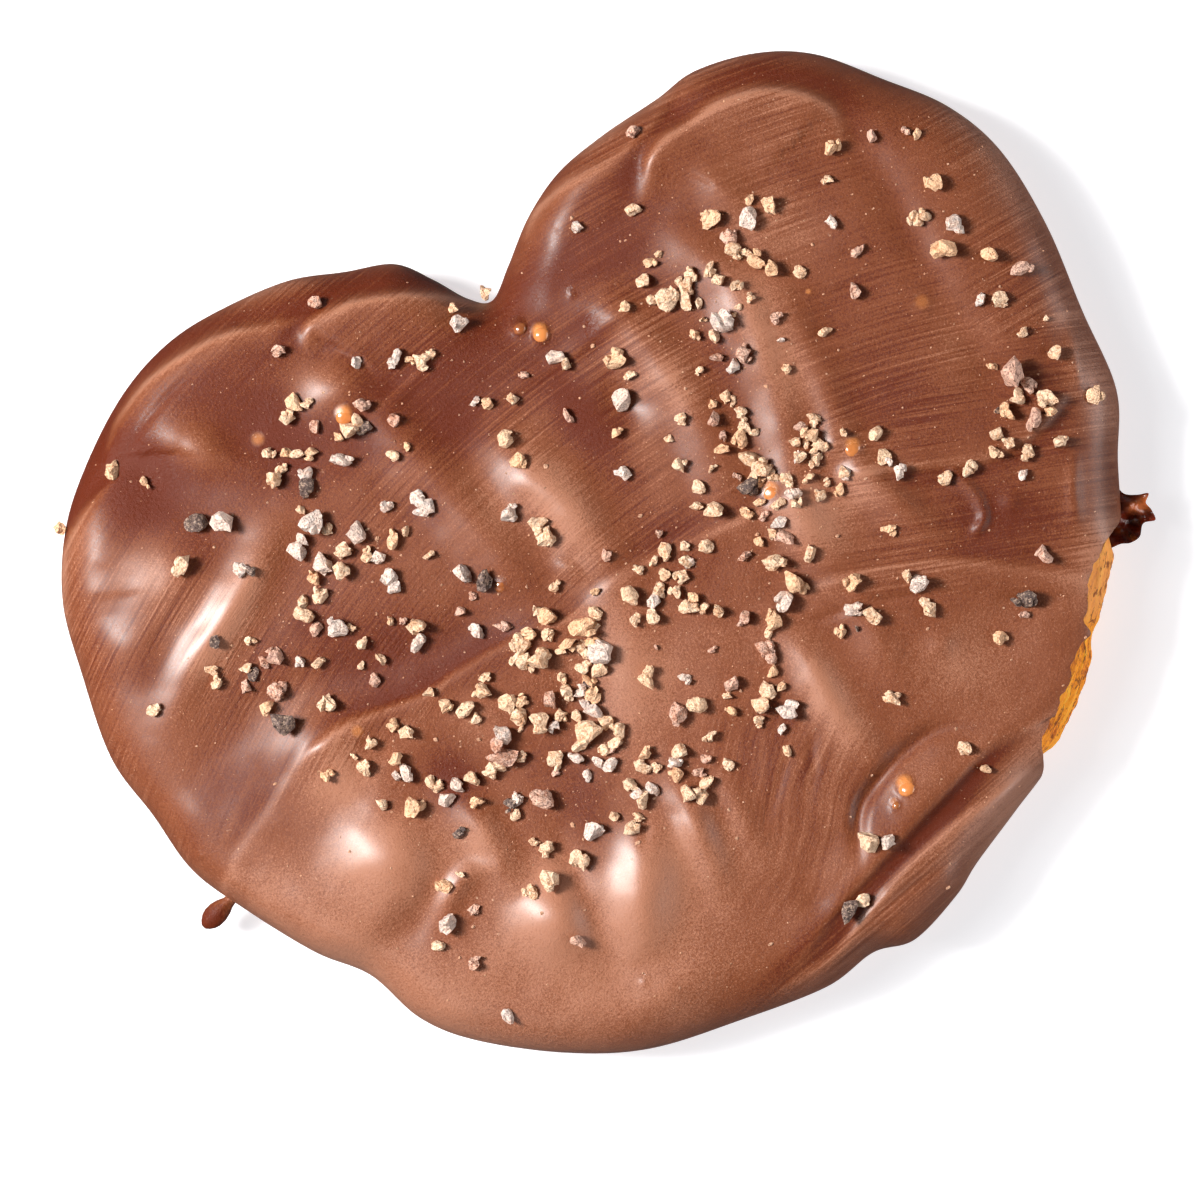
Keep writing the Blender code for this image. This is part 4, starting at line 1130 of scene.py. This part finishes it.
# %% Places of the nut crumbs
GOLDEN_MM = [
    # x, y and, where it isn't ordinary, length
    (-61, 50.7, 3.0), (-57.6, 47), (-71.9, 46.6, 2.4), (-34, 46.5, 2.3), (-32, 48, 2.8),
    (-30.4, 47, 1.8), (-14, 46.2, 1.6), (-12.7, 45.2, 2.8), (-10.7, 45.6, 1.7),
    (-5.2, 50.3, 1.7), (0.8, 50.6, 1.9), (-39, 42.8, 1.9), (-36.6, 41.8, 1.7),
    (-35.2, 40.9, 1.9), (-33.4, 40, 2.1), (-40, 39, 2.5), (-38.3, 39.9, 1.9),
    (-26, 41.6, 3.6), (-28.5, 40.6, 1.6), (-58, 33.6, 3.3), (-22.3, 34.5, 2.0),
    (-20, 34.7, 1.4), (-36, 28.8, 1.8), (-38.3, 33.2, 1.5), (-41, 23.3, 2.2),
    (-35.4, 25, 2.4), (-37, 22.3, 2.6), (-32.5, 23, 2.3), (-28, 23.3, 2.7), (-25.7, 23.5, 1.6),
    (-41.3, 20.6, 2.6), (-44, 20.8, 1.8), (-44.7, 19, 2.9), (-53.7, 19, 1.7), (-60.8, 17.9, 1.9),
    (-61, 15.8, 2.1), (-24.2, 18.8, 1.7), (-71, 16, 2.2), (-56, 15.6, 2.0), (-39.3, 14.3, 1.5),
    (-45.9, 11.8, 1.9), (-55.7, 8.8, 2.2), (-47.7, 5.4, 2.9), (-40.5, 8.5, 1.4),
    (-37.3, 8.2, 1.9), (-33.6, 12.6, 1.3), (-38.8, 11.4, 2.1), (-30.6, 10.2, 2.7),
    # over the notch's valley
    (-6.5, 35.3, 1.7), (-2.9, 34.3, 1.7), (6.7, 35.5, 1.8), (-6, 25, 2.6), (-6.4, 29.2, 2.5),
    (13.7, 33, 3.2), (14.7, 29.7, 1.9), (9, 22.8, 2.0), (-7.2, 16, 2.8), (-7.2, 13.8, 3.0),
    (18.6, 20.5, 1.9), (15.5, 18.7, 1.4), (15.4, 14.4, 2.2), (19.5, 12, 1.6),
    (16.4, 10.2, 2.2), (14.9, 7.9, 1.9), (17, 6.2, 2.9), (-9.4, 6.5, 1.9),
    # right lobe
    (25.8, 51.8, 2.3), (24.6, 43.5, 1.9), (26.3, 44.1, 1.2), (22.3, 41.5, 2.1),
    (18.1, 39.1, 1.8), (22.4, 38.3, 1.9), (24.5, 37.5, 3.4), (26.8, 36.3, 3.0),
    (28.3, 37.9, 2.6), (29.5, 39.2, 2.3), (28.5, 34.9, 1.6), (27.4, 38.8, 1.9),
    (32.2, 38.5, 2.5), (32.7, 36.6, 2.0), (36.3, 39.4, 2.6), (38, 38.3, 2.2), (39, 36.8, 2.8),
    (40.2, 34.7, 2.3), (34.5, 34.6, 1.9), (28, 32.4, 1.2), (25.8, 30.9, 1.8),
    (28.3, 29.4, 2.0), (35.3, 45.5, 3.1), (41.8, 45.5, 1.6), (44.2, 43.3, 2.6),
    (53.6, 43, 1.8), (56.4, 47.3, 2.6), (68.6, 43.2, 1.7), (67.5, 35.7, 2.7),
    (62.9, 31.9, 2.5), (64.6, 32, 2.1), (43.9, 32.5, 1.8), (35.5, 32.2, 1.7),
    (43.3, 22.8, 2.0), (35.6, 20.4, 1.5), (23.9, 25.8, 1.4), (64.8, 26.2, 3.5),
    (70.3, 22.6, 2.3), (68.9, 15.7, 2.4), (33.4, 31.8, 1.1), (32.4, 31, 1.0),
    # the column on the right lobe's ridge
    (23.5, 20.5, 1.4), (25.8, 20.7, 1.9), (26.5, 19.6, 1.6), (26.8, 17.3, 2.3),
    (21.8, 14, 2.1), (25, 14, 2.6), (26.4, 15.2, 2.0), (27.3, 14.2, 1.7), (25, 10.8, 3.1),
    (26.2, 8.8, 3.0), (24.3, 8.1, 1.8), (25, 6.8, 1.8), (27.3, 6.8, 1.8), (28.6, 5.4, 2.4),
    (23.7, 4.3, 1.7), (21, 3.5, 2.1), (26, 2.8, 2.3), (28.5, 1.9, 2.0), (31.8, 1.5, 2.0),
    (21.6, -4.7, 3.3), (27, -5.7, 2.4), (36, 11.7, 2.3), (34.2, 10.3, 2.5), (32, 10.1, 1.6),
    (33.3, 9.1, 1.5), (35, 7.9, 2.9), (33.5, 6.3, 2.4), (31.6, 7.8, 1.8), (39.1, 8.2, 1.4),
    (43.4, 5.8, 2.4), (34.9, 0.9, 1.9), (36.8, 2.7, 2.1), (20.8, -1, 1.5), (33.7, 2.6, 1.4),
    (31.4, 4.3, 1.9), (23.3, -0.6, 1.8), (42.9, 2.1, 2.3),
    # right side
    (50.3, -4.5, 2.1), (53.9, -4.7, 2.6), (58.2, -4.3, 2.4), (59.8, -2, 2.1),
    (60.5, -4, 2.1), (62.5, 0.3, 2.9), (62.6, -6.5, 2.5), (65, 1.6, 2.4), (72.8, 5.1, 2.0),
    (69.8, 9.9, 1.9), (63.6, 7.4, 1.7), (68.7, -0.7, 3.0), (68.3, -2.5, 1.9),
    (75.5, -3.1, 2.7), (67.8, -7.1, 2.2), (39, -8, 2.4), (38.4, -15.1, 2.0),
    (30.4, -12.1, 2.9), (31, -18.3, 2.8), (25.9, -18.2, 2.0), (39.2, -20.7, 3.0),
    (47, -29.5, 2.1), (28.5, -30.4, 2.6), (73.9, 10.3, 0.9),
    # the chain down the middle
    (23, -8.4, 3.2), (23.8, -10, 1.8), (17.6, -12.6, 3.4), (16.2, -13.8, 1.6), (14.3, -19.1, 2.0),
    (12.3, -21.5, 2.9), (10.4, -22.8, 2.6), (9.2, -25, 1.9), (14.4, -21.8, 1.6), (11, -30.7, 1.6),
    (6.5, -19.4, 1.5), (6.1, -21.6, 1.8), (1.6, -23.7, 2.2), (2.1, -28.8, 2.0),
    (2, -18.6, 2.8), (-2.7, -11.9, 3.3), (10.8, -7.5, 1.8), (7.3, -5.2, 3.0), (9.1, -6.3, 1.7),
    (8.3, -4.0, 1.9), (6.2, -2.2, 2.3), (4.3, -1, 2.4), (1.6, -4, 2.2), (-0.9, -3.3, 2.0),
    (-0.1, 0.3, 2.8), (6, 0.9, 1.8), (9.8, 1.1, 2.1), (7.6, 3.7, 2.5), (5.4, 3.3, 1.6),
    (2.8, 3.2, 1.7), (10.6, 3.2, 1.6), (13.4, 1.9, 2.1), (-4.2, 3, 1.4), (8.1, -0.5, 2.3),
    # the dense drift left of the middle
    (-13.2, 4.2, 1.9), (-12.4, 2.7, 2.5), (-17.7, 1, 2.9), (-15.9, 1.5, 2.1), (-13.5, 0.4, 1.9),
    (-18.8, -1.4, 3.0), (-16, -2, 3.2), (-11.3, -2.3, 2.6), (-8.4, -0.9, 3.6), (-5.7, 0.2, 2.3),
    (-9.6, -3.8, 3.2), (-10.7, -6, 2.4), (-8.7, -7.7, 2.6), (-14.4, -6.3, 1.8),
    (-14.7, -8.6, 2.4), (-11, -8.3, 2.4), (-11.2, -10.6, 2.6), (-17, -11.4, 2.3),
    (-20.4, -10.6, 3.0), (-15, -12.3, 1.9), (-14.1, -15.2, 4.2), (-11.3, -15.3, 3.0),
    (-16.3, -16.3, 2.5), (-20.7, -16.8, 3.1), (-13.4, -18.7, 1.9), (-11.5, -18.4, 2.2),
    (-10, -17.1, 2.2), (-8.2, -21.8, 2.3), (-9.4, -23.4, 2.5), (-7.6, -24.4, 1.7),
    (-3.4, -23.8, 2.3), (-12.2, -25.1, 2.2), (-11.5, -28, 2.6), (-5.5, -26.9, 2.3),
    (-4.9, -30.1, 2.9), (-1.8, -29.7, 2.2), (-3.8, -31.5, 1.9), (-12.8, -2.5, 1.6),
    (-6.4, -1.6, 1.4), (-17.6, -3, 1.5), (-7.9, -3.6, 2.2), (-23.2, -10.4, 1.1),
    (-33, 0.3, 1.9), (-44.2, -2.1, 2.3), (-40, -1.5, 1.9), (-38.8, -3.5, 2.2),
    (-51.9, -3.8, 2.0), (-46.6, -5.4, 2.4), (-41.8, -6.2, 2.1), (-47.3, -3.1, 1.2),
    (-31.7, -2.5, 2.4), (-29.4, -4.1, 2.8), (-28.6, -6, 1.8), (-26.2, -2.6, 3.1),
    (-24.7, -1.2, 1.9), (-46.6, -11.5, 2.1), (-42.8, -14.1, 3.4), (-38.8, -11.7, 2.0),
    (-38, -12.7, 1.9), (-33, -14, 2.2), (-30.2, -14, 2.4), (-28.3, -13.9, 2.0),
    (-25, -14.2, 1.7), (-34, -17.5, 2.2), (-23.3, -6.2, 2.8), (-21.4, -6.5, 2.4),
    (-22.7, -8.6, 2.5), (-29.5, -21.6, 1.7),
    # the sparse lower part
    (-43.6, -26.5, 2.7), (-48.4, -34, 1.9), (-32.6, -33, 2.3), (-29.5, -33, 3.3),
    (-28.7, -26.4, 1.6), (-27.7, -28.2, 2.4), (-23.7, -31.8, 3.0), (-16.4, -28.3, 1.5),
    (-14.7, -31.1, 2.6), (-13.2, -30, 1.8), (16, -48.2, 3.3), (11.4, -55.7, 2.1),
    (34.8, -42, 2.1), (36.4, -46, 1.7), (-40.7, -26, 1.4),
]
PALE_MM = [
    (-21.5, 49.3, 1.8), (-16, 47.4, 2.9), (-5.5, 47.7, 2.6), (-49.6, 36.4, 3.2),
    (-35.3, 37.7, 2.2), (-29.6, 37.3, 3.2), (-37.5, 31, 3.7), (-41.3, 28.5, 3.6), (-50.2, 28.8, 2.6),
    (-32.3, 26.4, 3.2), (-26.7, 28.1, 1.9), (-21.4, 26.2, 3.9), (-38.7, 24.4, 3.3),
    (-31.2, 21.8, 2.2), (-31, 17.7, 3.5), (-41.1, 15.4, 3.2), (-48.5, 13, 1.9),
    (-31.4, 7.9, 2.6), (-22.7, 5.4, 2.4), (-20.7, 14.2, 2.8), (-8, 36.4, 1.6), (5.8, 36.8, 2.4),
    (11.6, 27.1, 3.2), (-10.7, 19.2, 2.9), (7.1, 17.1, 2.4), (17, 53.2, 1.9),
    (40.5, 43.1, 3.2), (51.5, 37, 2.1), (31.1, 30.9, 3.4), (67.9, 28.7, 3.1), (66.3, 17, 1.9),
    (28.9, 24.3, 2.2), (36.8, 24.6, 1.1), (31.3, 7.8, 1.9), (28.6, 3.2, 2.3), (24.9, 0.4, 2.4),
    (36.9, 2.5, 1.9), (44.4, -0.4, 2.6), (43.2, 1.2, 1.4), (60.6, -9.1, 1.8), (39.5, -16.8, 2.7),
    (29.2, -15.9, 2.9), (20.3, -10.5, 3.1), (13.8, -25, 3.2), (11.7, -27.5, 1.6),
    (2.8, -2, 2.3), (10.1, 0.8, 1.6), (2.1, -14.3, 2.0), (-7.5, -5.3, 3.6),
    (-12.7, -9.1, 2.2), (-13, -11.3, 1.8), (-18.7, -12.3, 1.9), (-12.1, -12.8, 2.9),
    (-17.7, -17.8, 2.2), (-15, -20, 2.0), (-17.3, -21.1, 1.7), (-13.6, -21.1, 2.2),
    (-4.8, -25, 2.2), (-11.6, -26.8, 2.4), (-9.5, -27.1, 2.2), (-42, -8.6, 3.0),
    (-35.3, -13.9, 2.4), (-37.7, -14.9, 2.6), (-26, -9.8, 3.0), (-45.7, -31.5, 3.0),
    (18.6, -49.5, 2.4), (-20.1, -28.6, 3.0), (-43.5, -47.9, 2.4), (-28.2, -19.6, 2.1),
]
ROSY_MM = [
    (-23.1, 59.9, 2.2), (-31.1, 56, 2.0), (-30.9, 43.5, 1.9), (-23.2, 43.4, 2.6),
    (-20.2, 39.2, 2.0), (-44.1, 16.3, 2.1), (-53.3, 15.3, 1.9), (-51.4, 15.5, 2.6),
    (-57.2, 13.3, 2.1), (-53.3, 10.9, 3.1), (-31.9, 11.7, 1.2), (-39.5, 5.5, 1.9),
    (-23.7, 9.4, 1.7), (-21, 10.5, 1.4), (-18.8, 4.4, 2.4), (-2.3, 34.1, 1.0),
    (0.3, 36.7, 1.5), (3.6, 28.4, 2.2), (8, 6.6, 1.3), (-0.4, 7.3, 1.9), (30.9, 61.8, 2.2),
    (36.6, 41.6, 2.7), (62.5, 45.9, 1.9), (67.3, 44.4, 1.5), (53.1, 31.6, 2.3),
    (37.6, 27.8, 2.0), (50, 26.3, 2.5), (73.8, 18.6, 3.3), (27.2, 26.5, 1.8), (31.5, 25.1, 2.7),
    (22.5, 18.3, 2.3), (22.9, 15.6, 1.7), (22.1, 9.2, 1.5), (23.3, 2.2, 1.7), (24.8, -1.9, 2.8),
    (18, -1.9, 1.8), (33.6, 11.8, 1.7), (65.7, 5, 4.3), (67.3, 2.4, 2.6), (65.6, -2.6, 3.2),
    (58.3, -21.2, 2.7), (51.7, -28, 1.5), (14.9, -15.3, 2.8), (14.7, -16.9, 2.9),
    (7.8, -18, 2.3), (-1.1, -18.6, 3.2), (7.6, -12.3, 1.4), (13.7, -10.1, 2.5),
    (-9.3, -22.6, 1.4), (-0.4, -26.5, 1.6), (-2.3, -28, 2.0), (-27.2, -12.1, 4.2),
    (-17.4, -8.5, 2.6), (-25, -21.2, 3.5), (-41.2, -31.6, 1.9), (-44.6, -38.6, 2.2),
    (-29.4, -42.2, 2.2), (-21.4, -18.6, 1.3), (-12.2, -19.1, 1.2), (0.2, -8.3, 0.8),
]
DARK_MM = [
    (-53.3, 38.2, 3.1), (-36.1, 36.0, 3.3), (-24.4, 40, 2.4), (-58.5, 21.3, 2.0), (-55.5, 14.4, 2.1),
    (-54.4, 4.9, 3.5), (-18.3, 11.9, 3.4), (22.9, 7.1, 3.1), (52.8, -25.5, 3.7),
    (-38.1, -20.2, 2.0), (-29.8, -19.9, 2.2), (8.6, -55.7, 3.2), (-11.2, -8.7, 1.5),
    (-48.9, 28.2, 1.6), (28.4, -18.9, 0.9), (61.4, 1.0, 1.0),
]
counts = [len(k) for k in (GOLDEN_MM, PALE_MM, ROSY_MM, DARK_MM)]
print("crumbs listed:", counts, "in all", sum(counts))

# %% Make the nut crumbs
coat_tree = BVHTree.FromPolygons([tuple(p) for p in coat_points],
                                 [tuple(f.vertices) for f in coat.data.polygons])


def drop(x, y):
    """Where a crumb thrown at this place of the map lands, and the slope there."""
    aim = (np.array((x, y)) - SHIFT_MM) * MM
    for back in np.arange(0.0, 0.2, 0.004):
        spot = aim * (1 - back)
        hit, normal, _, _ = coat_tree.ray_cast(Vector((*spot, 0.06)), Vector((0, 0, -1)))
        if hit is not None:
            return Vector((*((aim + spot) / 2), hit.z)), normal
    return None, None


def round_mesh(levels):
    work = bmesh.new()
    bmesh.ops.create_icosphere(work, subdivisions=levels, radius=1.0)
    work.verts.ensure_lookup_table()
    points = np.array([v.co for v in work.verts])
    faces = np.array([[v.index for v in f.verts] for f in work.faces])
    work.free()
    return points, faces


def chip(points, chance):
    """One angular chip: a round mesh cut flat on several sides, then roughened."""
    shape = points * (1.0, chance.uniform(0.58, 0.92), chance.uniform(0.65, 0.95))
    for _ in range(8):
        n = chance.normal(size=3)
        n /= np.linalg.norm(n)
        reach = (shape @ n).max() * chance.uniform(0.44, 0.82)
        beyond = np.maximum(shape @ n - reach, 0)
        shape = shape - beyond[:, None] * n * 0.98
    for strength, pitch in ((0.13, 3.2), (0.11, 7.0)):
        waves = np.sin(points @ chance.normal(size=(3, 4)) * pitch + chance.uniform(0, 6, 4))
        shape = shape * (1 + strength * waves.mean(axis=1) * 1.6)[:, None]
    return shape * (1 + 0.06 * chance.normal(size=(len(points), 1)))


def crumb(points, faces, chance, size):
    """A crumb of the given length, in millimetres: one to three chips grown together."""
    chips = 1 if size < 1.3 else int(chance.choice([1, 2, 2, 3]))
    parts, corners = [], []
    for k in range(chips):
        shape = chip(points, chance)
        if k:
            turn = chance.uniform(0, 2 * math.pi)
            away = np.array((math.cos(turn), math.sin(turn), chance.uniform(-0.3, 0.3)))
            shape = shape * chance.uniform(0.45, 0.75) + away * chance.uniform(0.45, 0.75)
        corners.append(faces + k * len(points))
        parts.append(shape)
    shape = np.vstack(parts)
    shape = shape - (shape.max(axis=0) + shape.min(axis=0)) / 2
    longest = 2 * np.hypot(shape[:, 0], shape[:, 1]).max()
    return shape * size / longest, np.vstack(corners)


def scatter(name, places, seed, ordinary, sink=0.10):
    """All crumbs of one kind as one mesh, with a random shade stored for each crumb."""
    chance = np.random.default_rng(seed)
    points, faces = round_mesh(2)
    skin = Skin()
    shades = []
    for entry in places:
        x, y = entry[:2]
        size = entry[2] * 1.22 if len(entry) > 2 else ordinary * chance.uniform(0.95, 1.42)
        spot, normal = drop(x, y)
        shape, corners = crumb(points, faces, chance, size)
        turn = chance.uniform(0, 2 * math.pi)
        c, s = math.cos(turn), math.sin(turn)
        shape = shape @ np.array([[c, s, 0], [-s, c, 0], [0, 0, 1]]) * MM
        lean = np.array(Vector((0, 0, 1)).rotation_difference(normal).to_matrix())
        shape = shape @ lean.T
        lift = -(shape @ np.array(normal)).min() * (1 - 2 * sink)
        ids = skin.add(shape + np.array(spot) + np.array(normal) * lift)
        skin.faces.extend(ids[corners].tolist())
        shades.extend([chance.random()] * len(shape))
    item = skin.to_object(name, 24.0)
    store(item.data, "shade", shades)
    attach(item, "root")
    return item


golden = scatter("nut_crumbs_golden", GOLDEN_MM, 5, 2.0)
pale = scatter("nut_crumbs_pale", PALE_MM, 6, 2.2)
rosy = scatter("nut_crumbs_rosy", ROSY_MM, 7, 2.0)
dark = scatter("nut_crumbs_dark", DARK_MM, 8, 2.4)
print("crumb faces:", [len(o.data.polygons) for o in (golden, pale, rosy, dark)])

# %% [markdown]
# ## Bubble skins
#
# The larger air bubbles stand up as tight glossy domes, thin enough to glow amber. Each is a
# flattened ball sunk into the coat, so that only its polished top shows.

# %% Make the bubble skins
def make_bubbles():
    points, faces = round_mesh(4)
    skin = Skin()
    warmth = []
    for x, y, radius, height, amber in BUBBLES_MM:
        if height < 0.3:
            continue
        spot, normal = drop(x, y)
        lean = np.array(Vector((0, 0, 1)).rotation_difference(normal).to_matrix())
        dome = points * (0.86 * radius, 0.80 * radius, 0.9 * height + 0.25) @ lean.T
        sunk = np.array(normal) * (0.9 * height + 0.25 - 0.08)
        ids = skin.add((dome - sunk) * MM + np.array(spot))
        skin.faces.extend(ids[faces].tolist())
        warmth.extend([amber] * len(dome))
    item = skin.to_object("bubble_skins", 60.0)
    store(item.data, "warmth", warmth)
    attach(item, "root")
    return item


def paint_bubble():
    paint = Paint("bubble_skin", Specular_IOR_Level=0.6, Coat_Weight=0.5, Coat_Roughness=0.06)
    point, _, _, _ = paint.place()
    cloud = paint.noise(point, 0.9, 3.0, 0.6) - 0.5
    warm = (paint.stored("warmth") + cloud * 0.9).clamp()
    paint.set("Base Color", paint.blend(warm, (0.17, 0.045, 0.016), (0.58, 0.20, 0.055)))
    paint.set("Roughness", 0.20 + cloud * 0.2)
    return paint.material


bubbles_made = make_bubbles()
bubbles_made.data.materials.append(paint_bubble())
print("bubble faces:", len(bubbles_made.data.polygons))

# %% [markdown]
# ## Roasted nut
#
# A broken nut is pale and mealy inside, browned at its corners and pitted all over. One function
# paints every kind: it takes a light, a middle and a scorched colour, and mixes them by noise
# and by each crumb's own shade, so that no two are alike.

# %% Nut materials
def paint_nut(name, light, middle, scorched, warm, pits=0.5, grey=0.0):
    paint = Paint(name, Specular_IOR_Level=0.25, IOR=1.45)
    point, _, _, _ = paint.place()
    shade = paint.stored("shade")
    meal = paint.noise(point, 0.9, 3.0, 0.6) - 0.5
    grains = paint.noise(point, 3.0, 3.0, 0.75) - 0.5
    level = 0.6 + meal * 1.5 + grains * 2.0 + (shade - 0.5) * 0.5
    colour = paint.blend(level.step(0.05, 0.75), middle, light)
    colour = paint.blend((shade.step(0.35, 1.0) * 0.7 + meal * 0.8).clamp(), colour, warm)
    dirt = paint.noise(point, 2.0, 4.0, 0.75)
    colour = paint.blend((dirt.step(0.49, 0.60) * pits).clamp(), colour, scorched)
    if grey:
        cool = paint.noise(point, 0.9, 2.0).step(0.45, 0.60) * grey
        colour = paint.blend(cool, colour, (0.34, 0.30, 0.30))
    paint.set("Base Color", colour)
    paint.set("Roughness", 0.66 + grains * 0.3)
    coarse = paint.bump(paint.noise(point, 1.5, 3.0, 0.65), 0.55 * MM, 1.0)
    paint.set("Normal", paint.bump(grains, 0.14 * MM, 1.0, coarse))
    return paint.material


golden.data.materials.append(paint_nut(
    "nut_golden", (0.94, 0.71, 0.51), (0.74, 0.42, 0.24), (0.34, 0.11, 0.04),
    (0.84, 0.45, 0.23), 0.6))
pale.data.materials.append(paint_nut(
    "nut_pale", (0.93, 0.79, 0.70), (0.74, 0.52, 0.41), (0.30, 0.13, 0.09),
    (0.85, 0.61, 0.48), 0.6, 0.35))
rosy.data.materials.append(paint_nut(
    "nut_rosy", (0.84, 0.54, 0.41), (0.54, 0.25, 0.16), (0.17, 0.05, 0.03),
    (0.72, 0.40, 0.29), 0.75, 0.15))
dark.data.materials.append(paint_nut(
    "nut_dark", (0.20, 0.13, 0.11), (0.045, 0.028, 0.026), (0.60, 0.42, 0.31),
    (0.07, 0.04, 0.035), 0.7, 0.1))
print("nut materials ready")

# %% [markdown]
# ## Nut dust
#
# Chopping leaves a fine meal that falls with the crumbs. It is denser where they lie thick. Each
# speck is a tiny faceted flake, half sunk in the chocolate: small, but without it the coat looks
# too clean.

# %% Make the dust
def make_dust(count):
    chance = np.random.default_rng(21)
    listed = np.array([p[:2] for p in GOLDEN_MM + PALE_MM + ROSY_MM])
    points, faces = round_mesh(1)
    skin = Skin()
    shades = []
    made = 0
    while made < count:
        if chance.random() < 0.55:
            x, y = listed[chance.integers(len(listed))] + chance.normal(scale=4.5, size=2)
        else:
            x, y = chance.uniform(-78, 80), chance.uniform(-62, 64)
        spot = (np.array((x, y)) - SHIFT_MM) * MM
        hit, normal, _, _ = coat_tree.ray_cast(Vector((*spot, 0.06)), Vector((0, 0, -1)))
        if hit is None or normal.z < 0.5:
            continue
        size = 0.07 + 0.15 * chance.random() ** 3
        if chance.random() < 0.03:
            size = chance.uniform(0.25, 0.45)
        shape = points * (chance.uniform(0.7, 1.2), chance.uniform(0.6, 1.0), 0.6)
        shape = shape * (1 + 0.18 * chance.normal(size=(len(points), 1)))
        skin_ids = skin.add(shape * size * MM + np.array(hit) + np.array(normal) * size * 0.1 * MM)
        skin.faces.extend(skin_ids[faces].tolist())
        shades.extend([chance.random()] * len(points))
        made += 1
    item = skin.to_object("nut_dust", 30.0)
    store(item.data, "shade", shades)
    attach(item, "root")
    return item


dust = make_dust(2200)
dust.data.materials.append(paint_nut(
    "nut_dust", (0.62, 0.36, 0.24), (0.48, 0.25, 0.15), (0.34, 0.15, 0.08),
    (0.60, 0.30, 0.17), 0.3))
print("dust faces:", len(dust.data.polygons))
